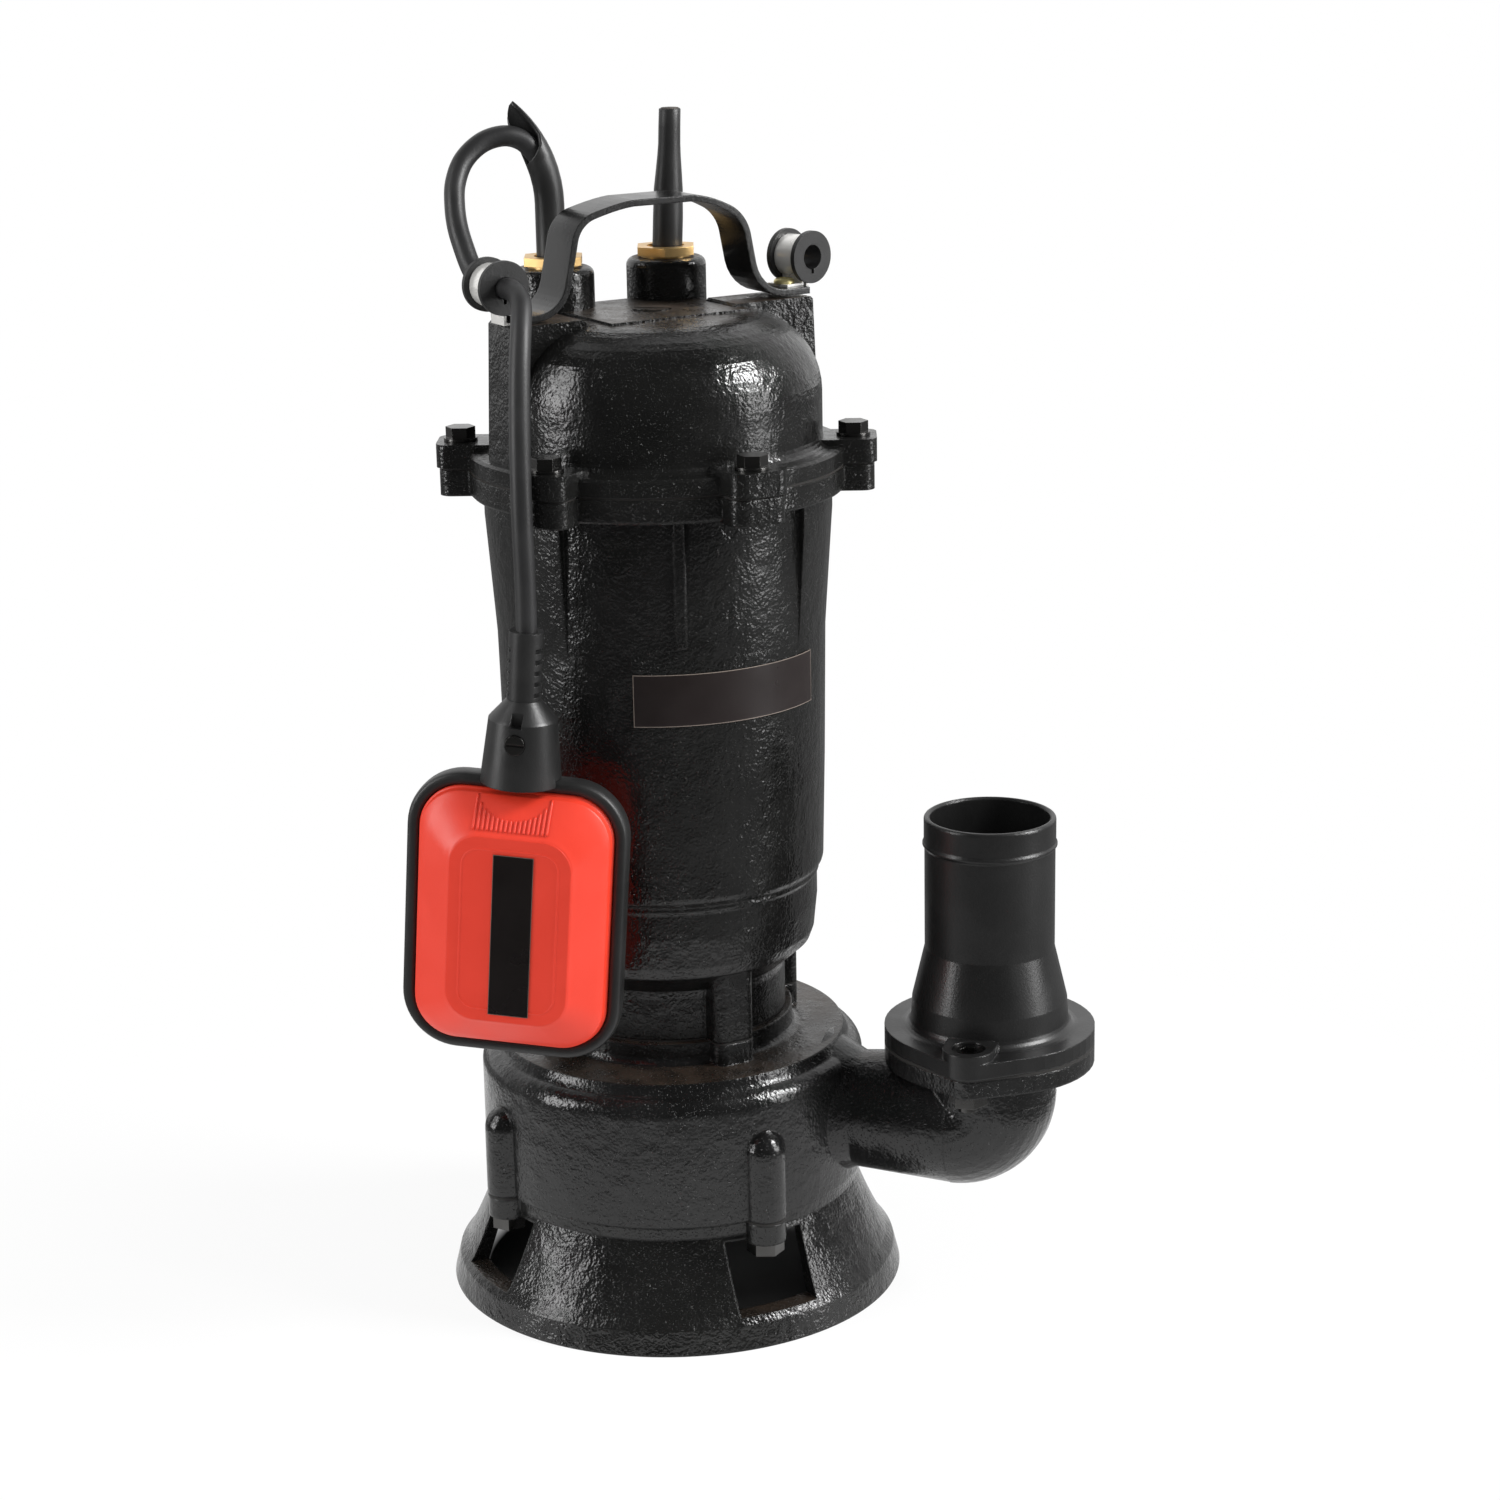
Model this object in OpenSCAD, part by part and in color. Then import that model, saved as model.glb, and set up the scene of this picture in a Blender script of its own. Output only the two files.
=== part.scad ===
// Submersible sewage pump with a tethered float switch. Millimetres, +Z up.
// The origin is the centre of the suction base's underside, and +X runs along the outlet.

/* [Suction base] */
// Radius of the foot ring where it stands
base_r = 92; // [86:0.5:100]
// Height of the base up to the casing gasket
base_h = 46.6; // [42:0.2:56]
// Height of the foot ring's rim
foot_h = 11; // [8:0.5:14]
// How much the rim draws in from bottom to top
foot_draft = 3; // [1:0.5:4]
// Step from the rim in to the skirt
foot_step = 2.6; // [1:0.2:4]
// Width of the ring that stands on the floor
foot_w = 8; // [6:0.5:11]
// Radius of the skirt at its top
skirt_top_r = 74; // [72:0.5:76]
// Wall of the skirt
skirt_wall = 5; // [3.5:0.5:7]
// Thickness of the plate under the impeller
wear_plate_t = 6; // [4:0.5:8]
// Radius of the suction eye
eye_r = 27; // [20:0.5:32]
// Width of the suction windows
window_w = 34; // [20:1:42]
// Height of the windows' sill above the floor
window_sill = 12; // [11:0.5:16]
// Height of the windows
window_h = 27; // [16:1:28]

/* [Base bolts] */
// Radius of the base's bolt circle
base_bolt_r = 75.5; // [74:0.5:77]
// Diameter of the base's bolts
base_bolt_d = 8; // [6:1:9]
// Thread length of the base's bolts above the ears
base_bolt_grip = 31; // [24:1:36]
// Radius of the casing's bolt bosses
base_boss_r = 8.5; // [6.5:0.5:9]
// Height of the bolt bosses on the casing
base_boss_h = 32; // [31:1:40]
// Thickness of the base's ears
base_ear_t = 8.5; // [8:0.5:14]

/* [Pump casing] */
// Radius of the volute casing
casing_r = 77.2; // [76.5:0.2:84]
// Height of the casing from its gasket to the top disc
casing_h = 57; // [56:0.5:64]
// Wall of the casing
casing_wall = 7.2; // [5:0.2:8]
// Radius of the top disc
disc_r = 69.4; // [66:0.2:71]
// Height of the top disc's edge above the shoulder
disc_edge_h = 4.2; // [2:0.2:5]
// Radius of the rounded shoulder
shoulder_r = 8; // [5:0.5:9]
// Thickness of the casing's roof
roof_t = 9; // [8.5:0.5:10]
// Radius of the collar that carries the motor
collar_r = 49; // [48:0.5:52]
// Height of the collar above the disc
collar_h = 8.8; // [6:0.2:12]
// Fillet round the foot of the collar
collar_fillet = 3; // [1:0.5:5]

/* [Outlet] */
// Distance from the pump's axis to the spigot's axis
outlet_x = 131.7; // [126:0.5:140]
// Height of the neck's axis above the casing gasket
neck_axis_h = 27; // [26:0.5:29]
// Radius of the neck where it leaves the casing
neck_r = 22.4; // [22:0.2:24]
// Radius of the elbow
elbow_r = 26.5; // [26:0.1:28]
// Bend radius of the elbow
elbow_bend = 13; // [11:0.5:15]
// Bore of the elbow and spigot
outlet_bore = 46.8; // [42:0.2:47.4]
// Outside diameter of the hose spigot
spigot_d = 51; // [50:0.1:52]
// Height of the spigot above its flange
spigot_h = 85.6; // [74:0.2:100]
// Length of the spigot's straight barrel
barrel_h = 42; // [36:0.5:50]
// How far the bead's crest lies below the rim
bead_drop = 11; // [8:0.5:14]
// How far the bead stands out of the barrel
bead_out = 0.8; // [0.4:0.1:1.5]
// Spread of the cone at the spigot's foot
cone_out = 5.4; // [3:0.2:7]
// Length of the cone
cone_h = 26; // [20:0.5:30]
// Radius of the flanges' round ends
flange_r = 41.5; // [40:0.5:44]
// Distance between the two flange bolts
flange_pitch = 78; // [76:0.5:80]
// Radius of the flanges' ears
flange_ear_r = 10; // [9:0.5:12]
// Thickness of the casing's outlet flange
flange_low_t = 7.2; // [6:0.2:12]
// Thickness of the spigot's flange
flange_top_t = 6.2; // [5:0.2:9]
// Height of the pads round the flange bolts
flange_pad_h = 3.6; // [2:0.2:5]
// Diameter of the flange bolts
flange_bolt_d = 8; // [6:1:9]

/* [Motor housing] */
// Height of the housing
housing_h = 221.5; // [218:0.5:236]
// Radius of the oil chamber's neck
neck_out_r = 46.3; // [45.5:0.1:48]
// Height of the neck
neck_out_h = 17; // [15:0.5:19]
// Radius of the drum's lower band
drum_low_r = 59.8; // [59.5:0.1:61]
// Height of the ridge above the housing's foot
ridge_h = 60; // [56:0.5:62]
// Radius of the drum above the ridge
drum_r = 62.5; // [62.3:0.1:64]
// Radius of the drum at its top
drum_top_r = 64.6; // [64.3:0.1:66]
// How far the bolt bands stand out at the top
band_out = 3; // [1:0.5:4.5]
// Height of the bolt bands under the flange
band_h = 76; // [60:1:90]
// Angle of the recessed front panel
panel_angle = 88; // [60:1:100]
// Height of the recessed panels
panel_h = 54; // [40:1:64]
// Radius of the top flange
flange_ring_r = 73; // [71:0.5:75]
// Thickness of the housing's top flange
flange_ring_t = 9.5; // [8:0.5:12]
// Radius of the motor bore
motor_bore_r = 57.1; // [56.6:0.1:57.5]

/* [Lugs] */
// Radius of the cover's bolt circle
lug_bolt_r = 76; // [75:0.5:77]
// Outer reach of the lugs
lug_reach = 85; // [84:0.5:88]
// Width of the lugs
lug_w = 23; // [20:0.5:26]
// Corner radius of the lugs
lug_corner = 5; // [3:0.5:6]
// Height of the cover's lugs above its flange
lug_rise = 2.6; // [0.4:0.2:4]
// Diameter of the cover bolts
cover_bolt_d = 6; // [5:1:6]
// Width of the columns between casing and drum
column_w = 17; // [15:0.5:20]
// Outer reach of the columns
column_reach = 55.5; // [55:0.5:57]
// Radius of the circle of the casing screws
casing_screw_r = 47.5; // [47:0.5:48]

/* [Top cover] */
// Thickness of the cover's flange
cover_flange_t = 6.5; // [5:0.5:9]
// Radius of the dome's wall
dome_r = 64.2; // [63.6:0.2:66]
// Height of the dome above the cover gasket
dome_h = 57; // [50:0.5:60]
// Radius of the dome's shoulder
dome_shoulder = 30; // [22:1:32]
// Wall of the dome
dome_wall = 6; // [4.5:0.5:7]
// Height of the flat top plate above the dome
plate_up = 1; // [1:0.1:4]
// Direction of the handle about the axis
handle_angle = 47; // [40:1:54]
// Width of the handle's pads
pad_w = 21.5; // [20:0.5:26]
// Height of the pads above the top plate
pad_up = 1.1; // [0.6:0.1:3]
// Outer reach of the pads
pad_reach = 65.3; // [65:0.1:67]
// Inner end of the pads
pad_inner = 34.7; // [32:0.5:38]
// Distance of the plug along the handle, and behind it
plug_s = 2.4; // [0:0.1:6]
plug_back = 5.6; // [0:0.1:8]
// Diameter of the slotted plug
plug_d = 15; // [10:0.5:18]

/* [Cable glands] */
// Half the distance between the glands along the handle
gland_s = 25; // [22:0.5:27]
// Distance of the glands behind the handle
gland_back = 33.6; // [32:0.2:35]
// Radius of the gland bosses
gland_boss_r = 15.7; // [14:0.1:16.5]
// Height of the gland bosses above the top plate
gland_boss_h = 15.5; // [11:0.5:18]
// Depth of the gland bore
gland_depth = 20; // [18:0.5:21]
// Diameter of the gland nut's thread
gland_thread_d = 19.4; // [17:0.2:21]
// Width across flats of the gland nuts
gland_af = 22; // [20:0.5:24]
// Height of the gland nuts' hexagon
gland_hex_h = 3.4; // [3:0.1:6]
// Length of the gland nuts' thread
gland_thread_h = 12; // [8:0.5:13]
// Diameter of the rubber sleeves
sleeve_d = 12; // [10.5:0.1:13]
// Diameter of the float's cord
cord_d = 8; // [7:0.1:8.4]
// Diameter of the supply cord
supply_cord_d = 7; // [6:0.1:7.4]
// Height of the right sleeve above its nut
supply_sleeve_h = 52.9; // [40:0.1:70]

/* [Handle and clips] */
// Height of the handle above its pads
handle_h = 43.4; // [38:0.2:60]
// Width of the handle strap
handle_w = 20; // [16:0.5:21.5]
// Thickness of the strap
handle_t = 2.5; // [2:0.5:4]
// Half the width of the handle at its shoulders
handle_half = 38.5; // [36:0.5:40]
// Distance of the handle screws from the axis
handle_screw_s = 58.8; // [56:0.2:60]
// Half the length of the strap from end to end
handle_end = 64.4; // [63:0.2:66]
// Thickness of the clips' steel strap
clip_t = 1; // [0.6:0.1:1.2]
// Width of the clips' steel strap
clip_w = 10.8; // [8:0.2:13]
// Height of the clips' rings above the pads
clip_rise = 14.3; // [14.1:0.1:18]
// Distance of the clips' rings outside the screws
clip_out = 8.3; // [8.2:0.1:9.4]
// Radius of the grommets' flanges
grommet_r = 10.2; // [9.5:0.1:11]
// Length of the grommets
grommet_len = 15.2; // [15:0.2:20]
// Diameter of an empty grommet's hole
grommet_hole_d = 9.5; // [9:0.1:11]

/* [Rotor and stator] */
// Length of the stator and rotor stacks
stack_h = 80; // [50:1:84]
// Radius of the rotor core
rotor_r = 30; // [26:0.5:31]
// Air gap between rotor and stator
air_gap = 0.5; // [0.3:0.1:0.8]
// Radius of the shaft through the rotor
shaft_r = 12; // [11:0.5:13]
// Number of stator slots
slot_count = 24; // [12:6:24]
// Outer radius of the impeller
impeller_r = 59; // [50:0.5:62]
// Width of the impeller from vane tips to shroud
impeller_h = 36; // [28:0.5:37]
// Number of impeller vanes
vane_count = 5; // [3:1:6]
// Thickness of the vanes
vane_t = 4.5; // [3:0.5:6]

/* [Float] */
// Width of the float
float_w = 85; // [78:1:92]
// Height of the float
float_h = 110.5; // [104:0.5:122]
// Distance from the float's middle plane to its faces
float_half_t = 18.6; // [15:0.2:19]
// Corner radius of the float
float_corner = 22; // [14:1:26]
// Width of the black rim
rim_w = 5.2; // [3:0.2:7]
// Thickness of the black rim
rim_t = 10; // [6:0.5:12]
// Wall of the red shells
shell_wall = 2.2; // [1.5:0.1:3]
// Width of the raised panel
float_panel_w = 49; // [36:1:56]
// Height of the raised panel
float_panel_h = 73; // [56:1:80]
// Radius of the collar at its foot
float_collar_r = 15.4; // [13:0.2:17]
// Height of the collar with its cone
float_collar_h = 32; // [30:0.5:38]
// Length of the strain relief above the collar
relief_h = 26; // [20:1:34]
// Diameter of the strain relief
relief_d = 13; // [12:0.2:15]
// Diameter of the steel ball in the switch
ball_d = 14; // [10:0.5:15]
// Travel of the ball in its tube
ball_travel = 18; // [10:1:22]

/* [Hidden] */
$fn = 72;
// Gaps: metal on metal, threads, and between pieces that move
fit = 0.05;
thread_gap = 0.1;
run_gap = 0.3;
cut = 1;
// Gasket thicknesses and the run of the impeller over the wear plate
gasket_t = 0.9;
seam_gasket_t = 0.7;
// Bosses and columns beside a sealing face stand this far clear of it
relief = 0.3;
outlet_gasket_t = 1.3;
impeller_run = 1;

// Heights of the seams, from the floor up
casing_z = base_h + gasket_t;
disc_z = casing_z + casing_h;
collar_z = disc_z + collar_h;
housing_z = collar_z + seam_gasket_t;
housing_top = housing_z + housing_h;
cover_z = housing_top + gasket_t;
cover_flange_z = cover_z + cover_flange_t;
dome_z = cover_z + dome_h;
plate_z = dome_z + plate_up;
pad_z = plate_z + pad_up;
boss_z = plate_z + gland_boss_h;
roof_z = disc_z - roof_t;
neck_z = casing_z + neck_axis_h;
elbow_z = neck_z + elbow_bend;
elbow_x = outlet_x - elbow_bend;
flange_low_z = disc_z + 3.7;
flange_top_z = flange_low_z + outlet_gasket_t;
spigot_base_z = flange_top_z + flange_top_t;
bore_r = outlet_bore / 2;
spigot_r = spigot_d / 2;
spigot_z = spigot_base_z + spigot_h;

// Bolts and nuts: head heights and widths across flats
hex_over_flats = 2 / sqrt(3);
base_bolt_af = 1.6 * base_bolt_d;
base_bolt_head = 0.65 * base_bolt_d;
base_ear_z = base_h - base_ear_t;
flange_head_r = 0.78 * flange_bolt_d;
flange_head_h = 0.7 * flange_bolt_d;
flange_nut_af = 1.625 * flange_bolt_d;
flange_nut_h = 0.55 * flange_bolt_d;
lower_ear_r = flange_ear_r - 2;
cover_bolt_af = 10;
cover_bolt_head = 5.4;
cover_bolt_len = 18;
cover_washer_r = 6.6;
cover_washer_t = 1.2;
casing_screw_d = 6;
casing_screw_len = 26;
socket_head_r = 5;
socket_head_h = 6;

// Seats on the shaft: seal, bearings and rotor
seal_r = 8;
lip_r = 9;
chamber_r = 36;
chamber_top = housing_z + 12;
lip_seal_r = 17;
lip_seal_h = 7;
low_bearing = [10, 23.5, 14, 3.97];
top_bearing = [8.5, 20, 12, 3.37];
low_bearing_z = chamber_top + lip_seal_h + cut;
cavity_z = low_bearing_z + low_bearing[2];
stator_z = housing_z + ridge_h + 4;
stator_top = stator_z + stack_h;
stator_r = motor_bore_r - fit;
stator_bore_r = rotor_r + air_gap;
winding_h = 20;
bracket_gap = 10;
bracket_z = stator_top + winding_h + bracket_gap;
bracket_t = 8;
bracket_bore_r = motor_bore_r + 1;
top_bearing_z = bracket_z + 3;
shaft_top = top_bearing_z + top_bearing[2];
ball_count = 8;

// Impeller and its nut
impeller_z = base_h + impeller_run;
shroud_t = 4;
shroud_z = impeller_z + impeller_h - shroud_t;
hub_r = 13;
hub_top = roof_z - 1.5;
nut_h = 8;
hub_z = impeller_z + nut_h + 1;
key_w = 5;
key_len = 18;
key_z = hub_z + 4;

// Directions across the top: along the handle, and in front of it
along = [cos(handle_angle), sin(handle_angle)];
front = [sin(handle_angle), -cos(handle_angle)];
// The clips: how far each turns about its screw
clip_turns = [180, 13];
clip_sides = [-1, 1];
grommet_disc = 2;
clip_ring_r = grommet_r - 3;
clip_z = pad_z + clip_rise;
strap_z = pad_z + clip_t;
handle_screw_d = 4;
handle_head_r = 4.1;

// Columns at the seam, lugs and base bolts round the axis
column_angles = [45, 135, 225, 315];
lug_angles = [15, 75, 135, 195, 255, 315];
panel_mids = [-62, 118];
rib_angle = -66;

// Route of the float's cord: up the sleeve, over, and down into the left clip
loop_route = [
    [-42, 5.2, 383], [-42, 5.2, 400], [-42, 5.2, 416], [-42.3, 5.1, 430], [-43, 4.9, 440],
    [-44.6, 4.4, 448], [-48, 3.4, 454.5], [-52.6, 1.8, 458.7], [-58.3, -1.5, 460.2],
    [-65, -6.5, 458], [-70.2, -12.5, 452], [-71.8, -18.2, 444], [-70.4, -23.5, 436],
    [-67.8, -28, 428.3], [-64, -32, 420.8], [-60.2, -35.4, 414.4], [-56.3, -39, 410.9],
    [-52.1, -43.2, 409.8], [-45.76, -49.07, 409.8], [-40.2, -54.26, 409.8]
];
// Route of the float's cord from the clip down to the float
drop_route = [
    [-40.127, -54.328, 409.8], [-38.74, -55.62, 409.8], [-36.4, -57.7, 409.7],
    [-32.4, -61.8, 408.3], [-29.3, -67.3, 404.6],
    [-27.4, -74, 396.6], [-26.2, -80, 384], [-25.4, -84.2, 367], [-25, -86.4, 348],
    [-24.9, -86.9, 328], [-24.8, -86.4, 308], [-25, -86.05, 292], [-25.43, -86.05, 284]
];
cord_sides = 10;

// Place of the float where it hangs
float_at = [-33.2, -87, 177.4];
float_turn = 7;
float_tilt = 4.2;
// How far the collar's foot reaches down over the rim, and the panel sits below the middle
rim_bite = 2.4;
panel_drop = 1;
collar_z0 = float_h / 2 - rim_bite;
cone_z0 = collar_z0 + float_collar_h - 7.5;
collar_top = collar_z0 + float_collar_h;
collar_neck_r = float_collar_r - 2.4;
tube_r = ball_d / 2 + 0.4;
tube_wall = 1.8;
ball_z = -26;
relief_bore_d = cord_d + 0.4;

// ---- Helpers ----

// Copies the children at each angle about the axis
module around(angles) {
    for (a = angles) rotate([0, 0, a]) children();
}

// Puts the children on the handle's line: s along it, f in front of it
module on_top(s, f, z) {
    translate([s * along[0] + f * front[0], s * along[1] + f * front[1], z])
        rotate([0, 0, handle_angle]) children();
}

module ring(r_out, r_in, h) {
    difference() {
        cylinder(h = h, r = r_out);
        translate([0, 0, -cut]) cylinder(h = h + 2 * cut, r = r_in);
    }
}

// A bar from the axis out to a reach, with two round corners
module lug_outline(reach, width, corner) {
    square_w = width - 2 * corner;
    translate([0, -width / 2]) square([reach - corner, width]);
    translate([0, -square_w / 2]) square([reach, square_w]);
    for (side = [-1, 1]) translate([reach - corner, side * square_w / 2]) circle(r = corner);
}

// A hexagon by its width across flats
module hexagon(across, h) {
    cylinder(h = h, d = across * hex_over_flats, $fn = 6);
}

function arc(cx, cy, r, from, to, steps) =
    [for (i = [0 : steps]) let(a = from + (to - from) * i / steps) [cx + r * cos(a), cy + r * sin(a)]];

function curve(a, b, c, steps) =
    [for (i = [0 : steps]) let(t = i / steps) (1 - t) * (1 - t) * a + 2 * t * (1 - t) * b + t * t * c];

module rounded_rect(w, h, r) {
    square([w - 2 * r, h], center = true);
    square([w, h - 2 * r], center = true);
    for (x = [-1, 1], y = [-1, 1]) translate([x * (w / 2 - r), y * (h / 2 - r)]) circle(r = r);
}

// ---- Suction base ----

base_bolt_angles = column_angles;

module base_profile() {
    rim_top_r = base_r - foot_draft;
    skirt_r = rim_top_r - foot_step;
    flange_z = base_h - 5;
    outside = curve([skirt_r, foot_h + 2.5], [skirt_r - 6.4, foot_h + 14], [skirt_top_r, flange_z], 10);
    polygon(concat(
        [[base_r - foot_w, 0], [base_r, 0], [rim_top_r + 0.6, foot_h - 1.5], [rim_top_r - 0.6, foot_h]],
        outside,
        [[skirt_top_r + 1, flange_z], [skirt_top_r + 1, base_h], [eye_r, base_h]],
        [[eye_r, base_h - wear_plate_t - 3], [eye_r + 3.5, base_h - wear_plate_t - 3]],
        [[eye_r + 3.5, base_h - wear_plate_t], [skirt_top_r - skirt_wall, base_h - wear_plate_t]]
    ));
}

module suction_base() {
    color([0.06, 0.06, 0.07])
    difference() {
        union() {
            difference() {
                rotate_extrude() base_profile();
                around(base_bolt_angles)
                    translate([skirt_top_r - 14, -window_w / 2, window_sill])
                        cube([base_r - skirt_top_r + 16, window_w, window_h]);
            }
            around(base_bolt_angles) {
                translate([base_bolt_r, 0, base_ear_z]) cylinder(h = base_ear_t, r = base_boss_r - 0.2);
                translate([base_bolt_r - 13, 0.2 - base_boss_r, base_ear_z])
                    cube([13, 2 * base_boss_r - 0.4, base_ear_t]);
            }
        }
        around(base_bolt_angles)
            translate([base_bolt_r, 0, base_ear_z - cut])
                cylinder(h = base_ear_t + 2 * cut, d = base_bolt_d + 1);
    }
}

module base_bolts() {
    color([0.12, 0.12, 0.13])
    around(base_bolt_angles) translate([base_bolt_r, 0, 0]) {
        translate([0, 0, base_ear_z - base_bolt_head]) hexagon(base_bolt_af, base_bolt_head);
        translate([0, 0, base_ear_z]) cylinder(h = base_bolt_grip, d = base_bolt_d);
    }
}

module casing_gasket() {
    inner = casing_r - casing_wall;
    color([0.1, 0.1, 0.1])
    translate([0, 0, base_h])
    difference() {
        union() {
            cylinder(h = gasket_t, r = inner + 5);
            around(base_bolt_angles) translate([base_bolt_r, 0, 0]) cylinder(h = gasket_t, r = base_boss_r - 0.2);
        }
        translate([0, 0, -cut]) cylinder(h = gasket_t + 2 * cut, r = inner);
        around(base_bolt_angles)
            translate([base_bolt_r, 0, -cut]) cylinder(h = gasket_t + 2 * cut, d = base_bolt_d + 1);
    }
}

// ---- Pump casing with its outlet neck and elbow ----

module casing_profile() {
    shoulder_z = disc_z - disc_edge_h - shoulder_r + 0.2;
    polygon(concat(
        [[0, casing_z], [casing_r, casing_z]],
        arc(casing_r - shoulder_r, shoulder_z, shoulder_r, 0, 72, 8),
        [[disc_r + 1.2, disc_z - disc_edge_h + 1.4], [disc_r, disc_z], [collar_r + collar_fillet, disc_z]],
        arc(collar_r + collar_fillet, disc_z + collar_fillet, collar_fillet, 270, 180, 4),
        [[collar_r, collar_z], [0, collar_z]]
    ));
}

// The elbow's quarter turn, from the neck up to the flange. Its profile stops short of the turning
// axis, where the neck and the rise fill in, and stands a hair outside them.
module elbow(r) {
    outer = r + 0.15;
    short = 0.6;
    open = acos((short - elbow_bend) / outer);
    translate([elbow_x, 0, elbow_z]) rotate([90, 0, 0]) rotate([0, 0, -90])
        rotate_extrude(angle = 90) polygon(arc(elbow_bend, 0, outer, -open, open, 24));
}

// Tapered neck, elbow and rise, as one solid of revolution chain
module outlet_run(r_neck, r_elbow, x_from, top) {
    translate([x_from, 0, neck_z]) rotate([0, 90, 0])
        cylinder(h = elbow_x - x_from + 0.5, r1 = r_neck, r2 = r_elbow);
    elbow(r_elbow);
    translate([outlet_x, 0, elbow_z - 0.5]) cylinder(h = top - elbow_z + 0.5, r = r_elbow);
}

// Round-ended flange with an ear for each bolt, joined by the tangents between the arcs
module flange_outline(ear_r) {
    half = flange_pitch / 2;
    lean = asin((flange_r - ear_r) / half);
    polygon(concat(
        arc(0, 0, flange_r, -lean, lean, 16),
        arc(0, half, ear_r, lean, 180 - lean, 12),
        arc(0, 0, flange_r, 180 - lean, 180 + lean, 16),
        arc(0, -half, ear_r, 180 + lean, 360 - lean, 12)
    ));
}

module flange_bolt_places() {
    for (turn = [0, 180]) translate([outlet_x, 0, 0]) rotate([0, 0, turn])
        translate([0, flange_pitch / 2, 0]) children();
}

module volute_casing() {
    flare = 9;
    color([0.1, 0.1, 0.11])
    difference() {
        union() {
            rotate_extrude() casing_profile();
            intersection() {
                union() {
                    outlet_run(neck_r, elbow_r, casing_r - 12, flange_low_z - 1);
                    translate([casing_r - 12, 0, neck_z]) rotate([0, 90, 0])
                        cylinder(h = 16, r1 = neck_r + flare, r2 = neck_r);
                }
                translate([0, -casing_r, casing_z]) cube([2 * outlet_x, 2 * casing_r, 2 * casing_h]);
            }
            translate([outlet_x, 0, flange_low_z - flange_low_t])
                linear_extrude(flange_low_t) flange_outline(lower_ear_r);
            around(column_angles)
                translate([0, 0, disc_z - 1]) linear_extrude(collar_z - disc_z + 1)
                    lug_outline(column_reach, column_w, 4);
            around(base_bolt_angles) translate([base_bolt_r, 0, casing_z]) {
                translate([0, 0, relief])
                    cylinder(h = base_boss_h - base_boss_r / 2 - relief, r = base_boss_r);
                translate([0, 0, base_boss_h - base_boss_r / 2]) sphere(r = base_boss_r);
            }
        }
        casing_cavity();
        around(base_bolt_angles)
            translate([base_bolt_r, 0, casing_z - cut])
                cylinder(h = base_bolt_grip - base_ear_t + 3 + cut, d = base_bolt_d + 2 * thread_gap);
        around(column_angles) translate([casing_screw_r, 0, 0]) {
            translate([0, 0, roof_z - cut]) cylinder(h = socket_head_h + cut, r = socket_head_r + thread_gap);
            translate([0, 0, roof_z]) cylinder(h = collar_z, d = casing_screw_d + 2 * thread_gap);
        }
        outlet_run(neck_r - 3.4, bore_r, casing_r - casing_wall - 12, flange_low_z + cut);
        flange_bolt_places()
            translate([0, 0, flange_low_z - flange_low_t - cut])
                cylinder(h = flange_low_t + 2 * cut, d = flange_bolt_d + 1);
        // Flat under each ear for its nut
        flange_bolt_places()
            translate([0, 0, flange_low_z - flange_low_t - flange_nut_h - 12])
                cylinder(h = flange_nut_h + 12, d = flange_nut_af * hex_over_flats + 1);
    }
}

// Impeller chamber, seal pocket and the lower half of the oil chamber
module casing_cavity() {
    chamber = casing_r - casing_wall;
    corner = 6;
    rotate_extrude() polygon(concat(
        [[0, casing_z - cut], [chamber, casing_z - cut]],
        arc(chamber - corner, roof_z - corner, corner, 0, 90, 5),
        [[0, roof_z]]
    ));
    translate([0, 0, roof_z - cut]) cylinder(h = roof_t, r = seal_r + 4);
    translate([0, 0, roof_z + 2]) cylinder(h = roof_t, r = seal_r + 7);
    translate([0, 0, disc_z - 0.5]) cylinder(h = collar_h + 2, r = chamber_r);
}

module outlet_gasket() {
    color([0.12, 0.12, 0.12])
    translate([outlet_x, 0, flange_low_z])
    linear_extrude(outlet_gasket_t)
    difference() {
        flange_outline(lower_ear_r);
        circle(r = bore_r);
        for (side = [-1, 1]) translate([0, side * flange_pitch / 2]) circle(d = flange_bolt_d + 1);
    }
}

module spigot_profile() {
    bead_z = spigot_z - bead_drop;
    barrel_z = bead_z - barrel_h;
    foot_r = spigot_r + cone_out;
    polygon(concat(
        [[bore_r, flange_top_z], [foot_r + 4, flange_top_z], [foot_r + 4, spigot_base_z]],
        arc(foot_r + 4, spigot_base_z + 4, 4, 270, 190, 4),
        [[foot_r - 0.4, barrel_z - cone_h + 5], [spigot_r, barrel_z], [spigot_r, bead_z - 1.5]],
        [[spigot_r + bead_out, bead_z - 0.3], [spigot_r + bead_out, bead_z + 0.3]],
        [[spigot_r + 0.25, bead_z + 1.2], [spigot_r + 0.25, spigot_z - 1.2]],
        arc(spigot_r - 0.95, spigot_z - 1.2, 1.2, 0, 90, 4),
        [[bore_r + 0.8, spigot_z], [bore_r, spigot_z - 0.8]]
    ));
}

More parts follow.
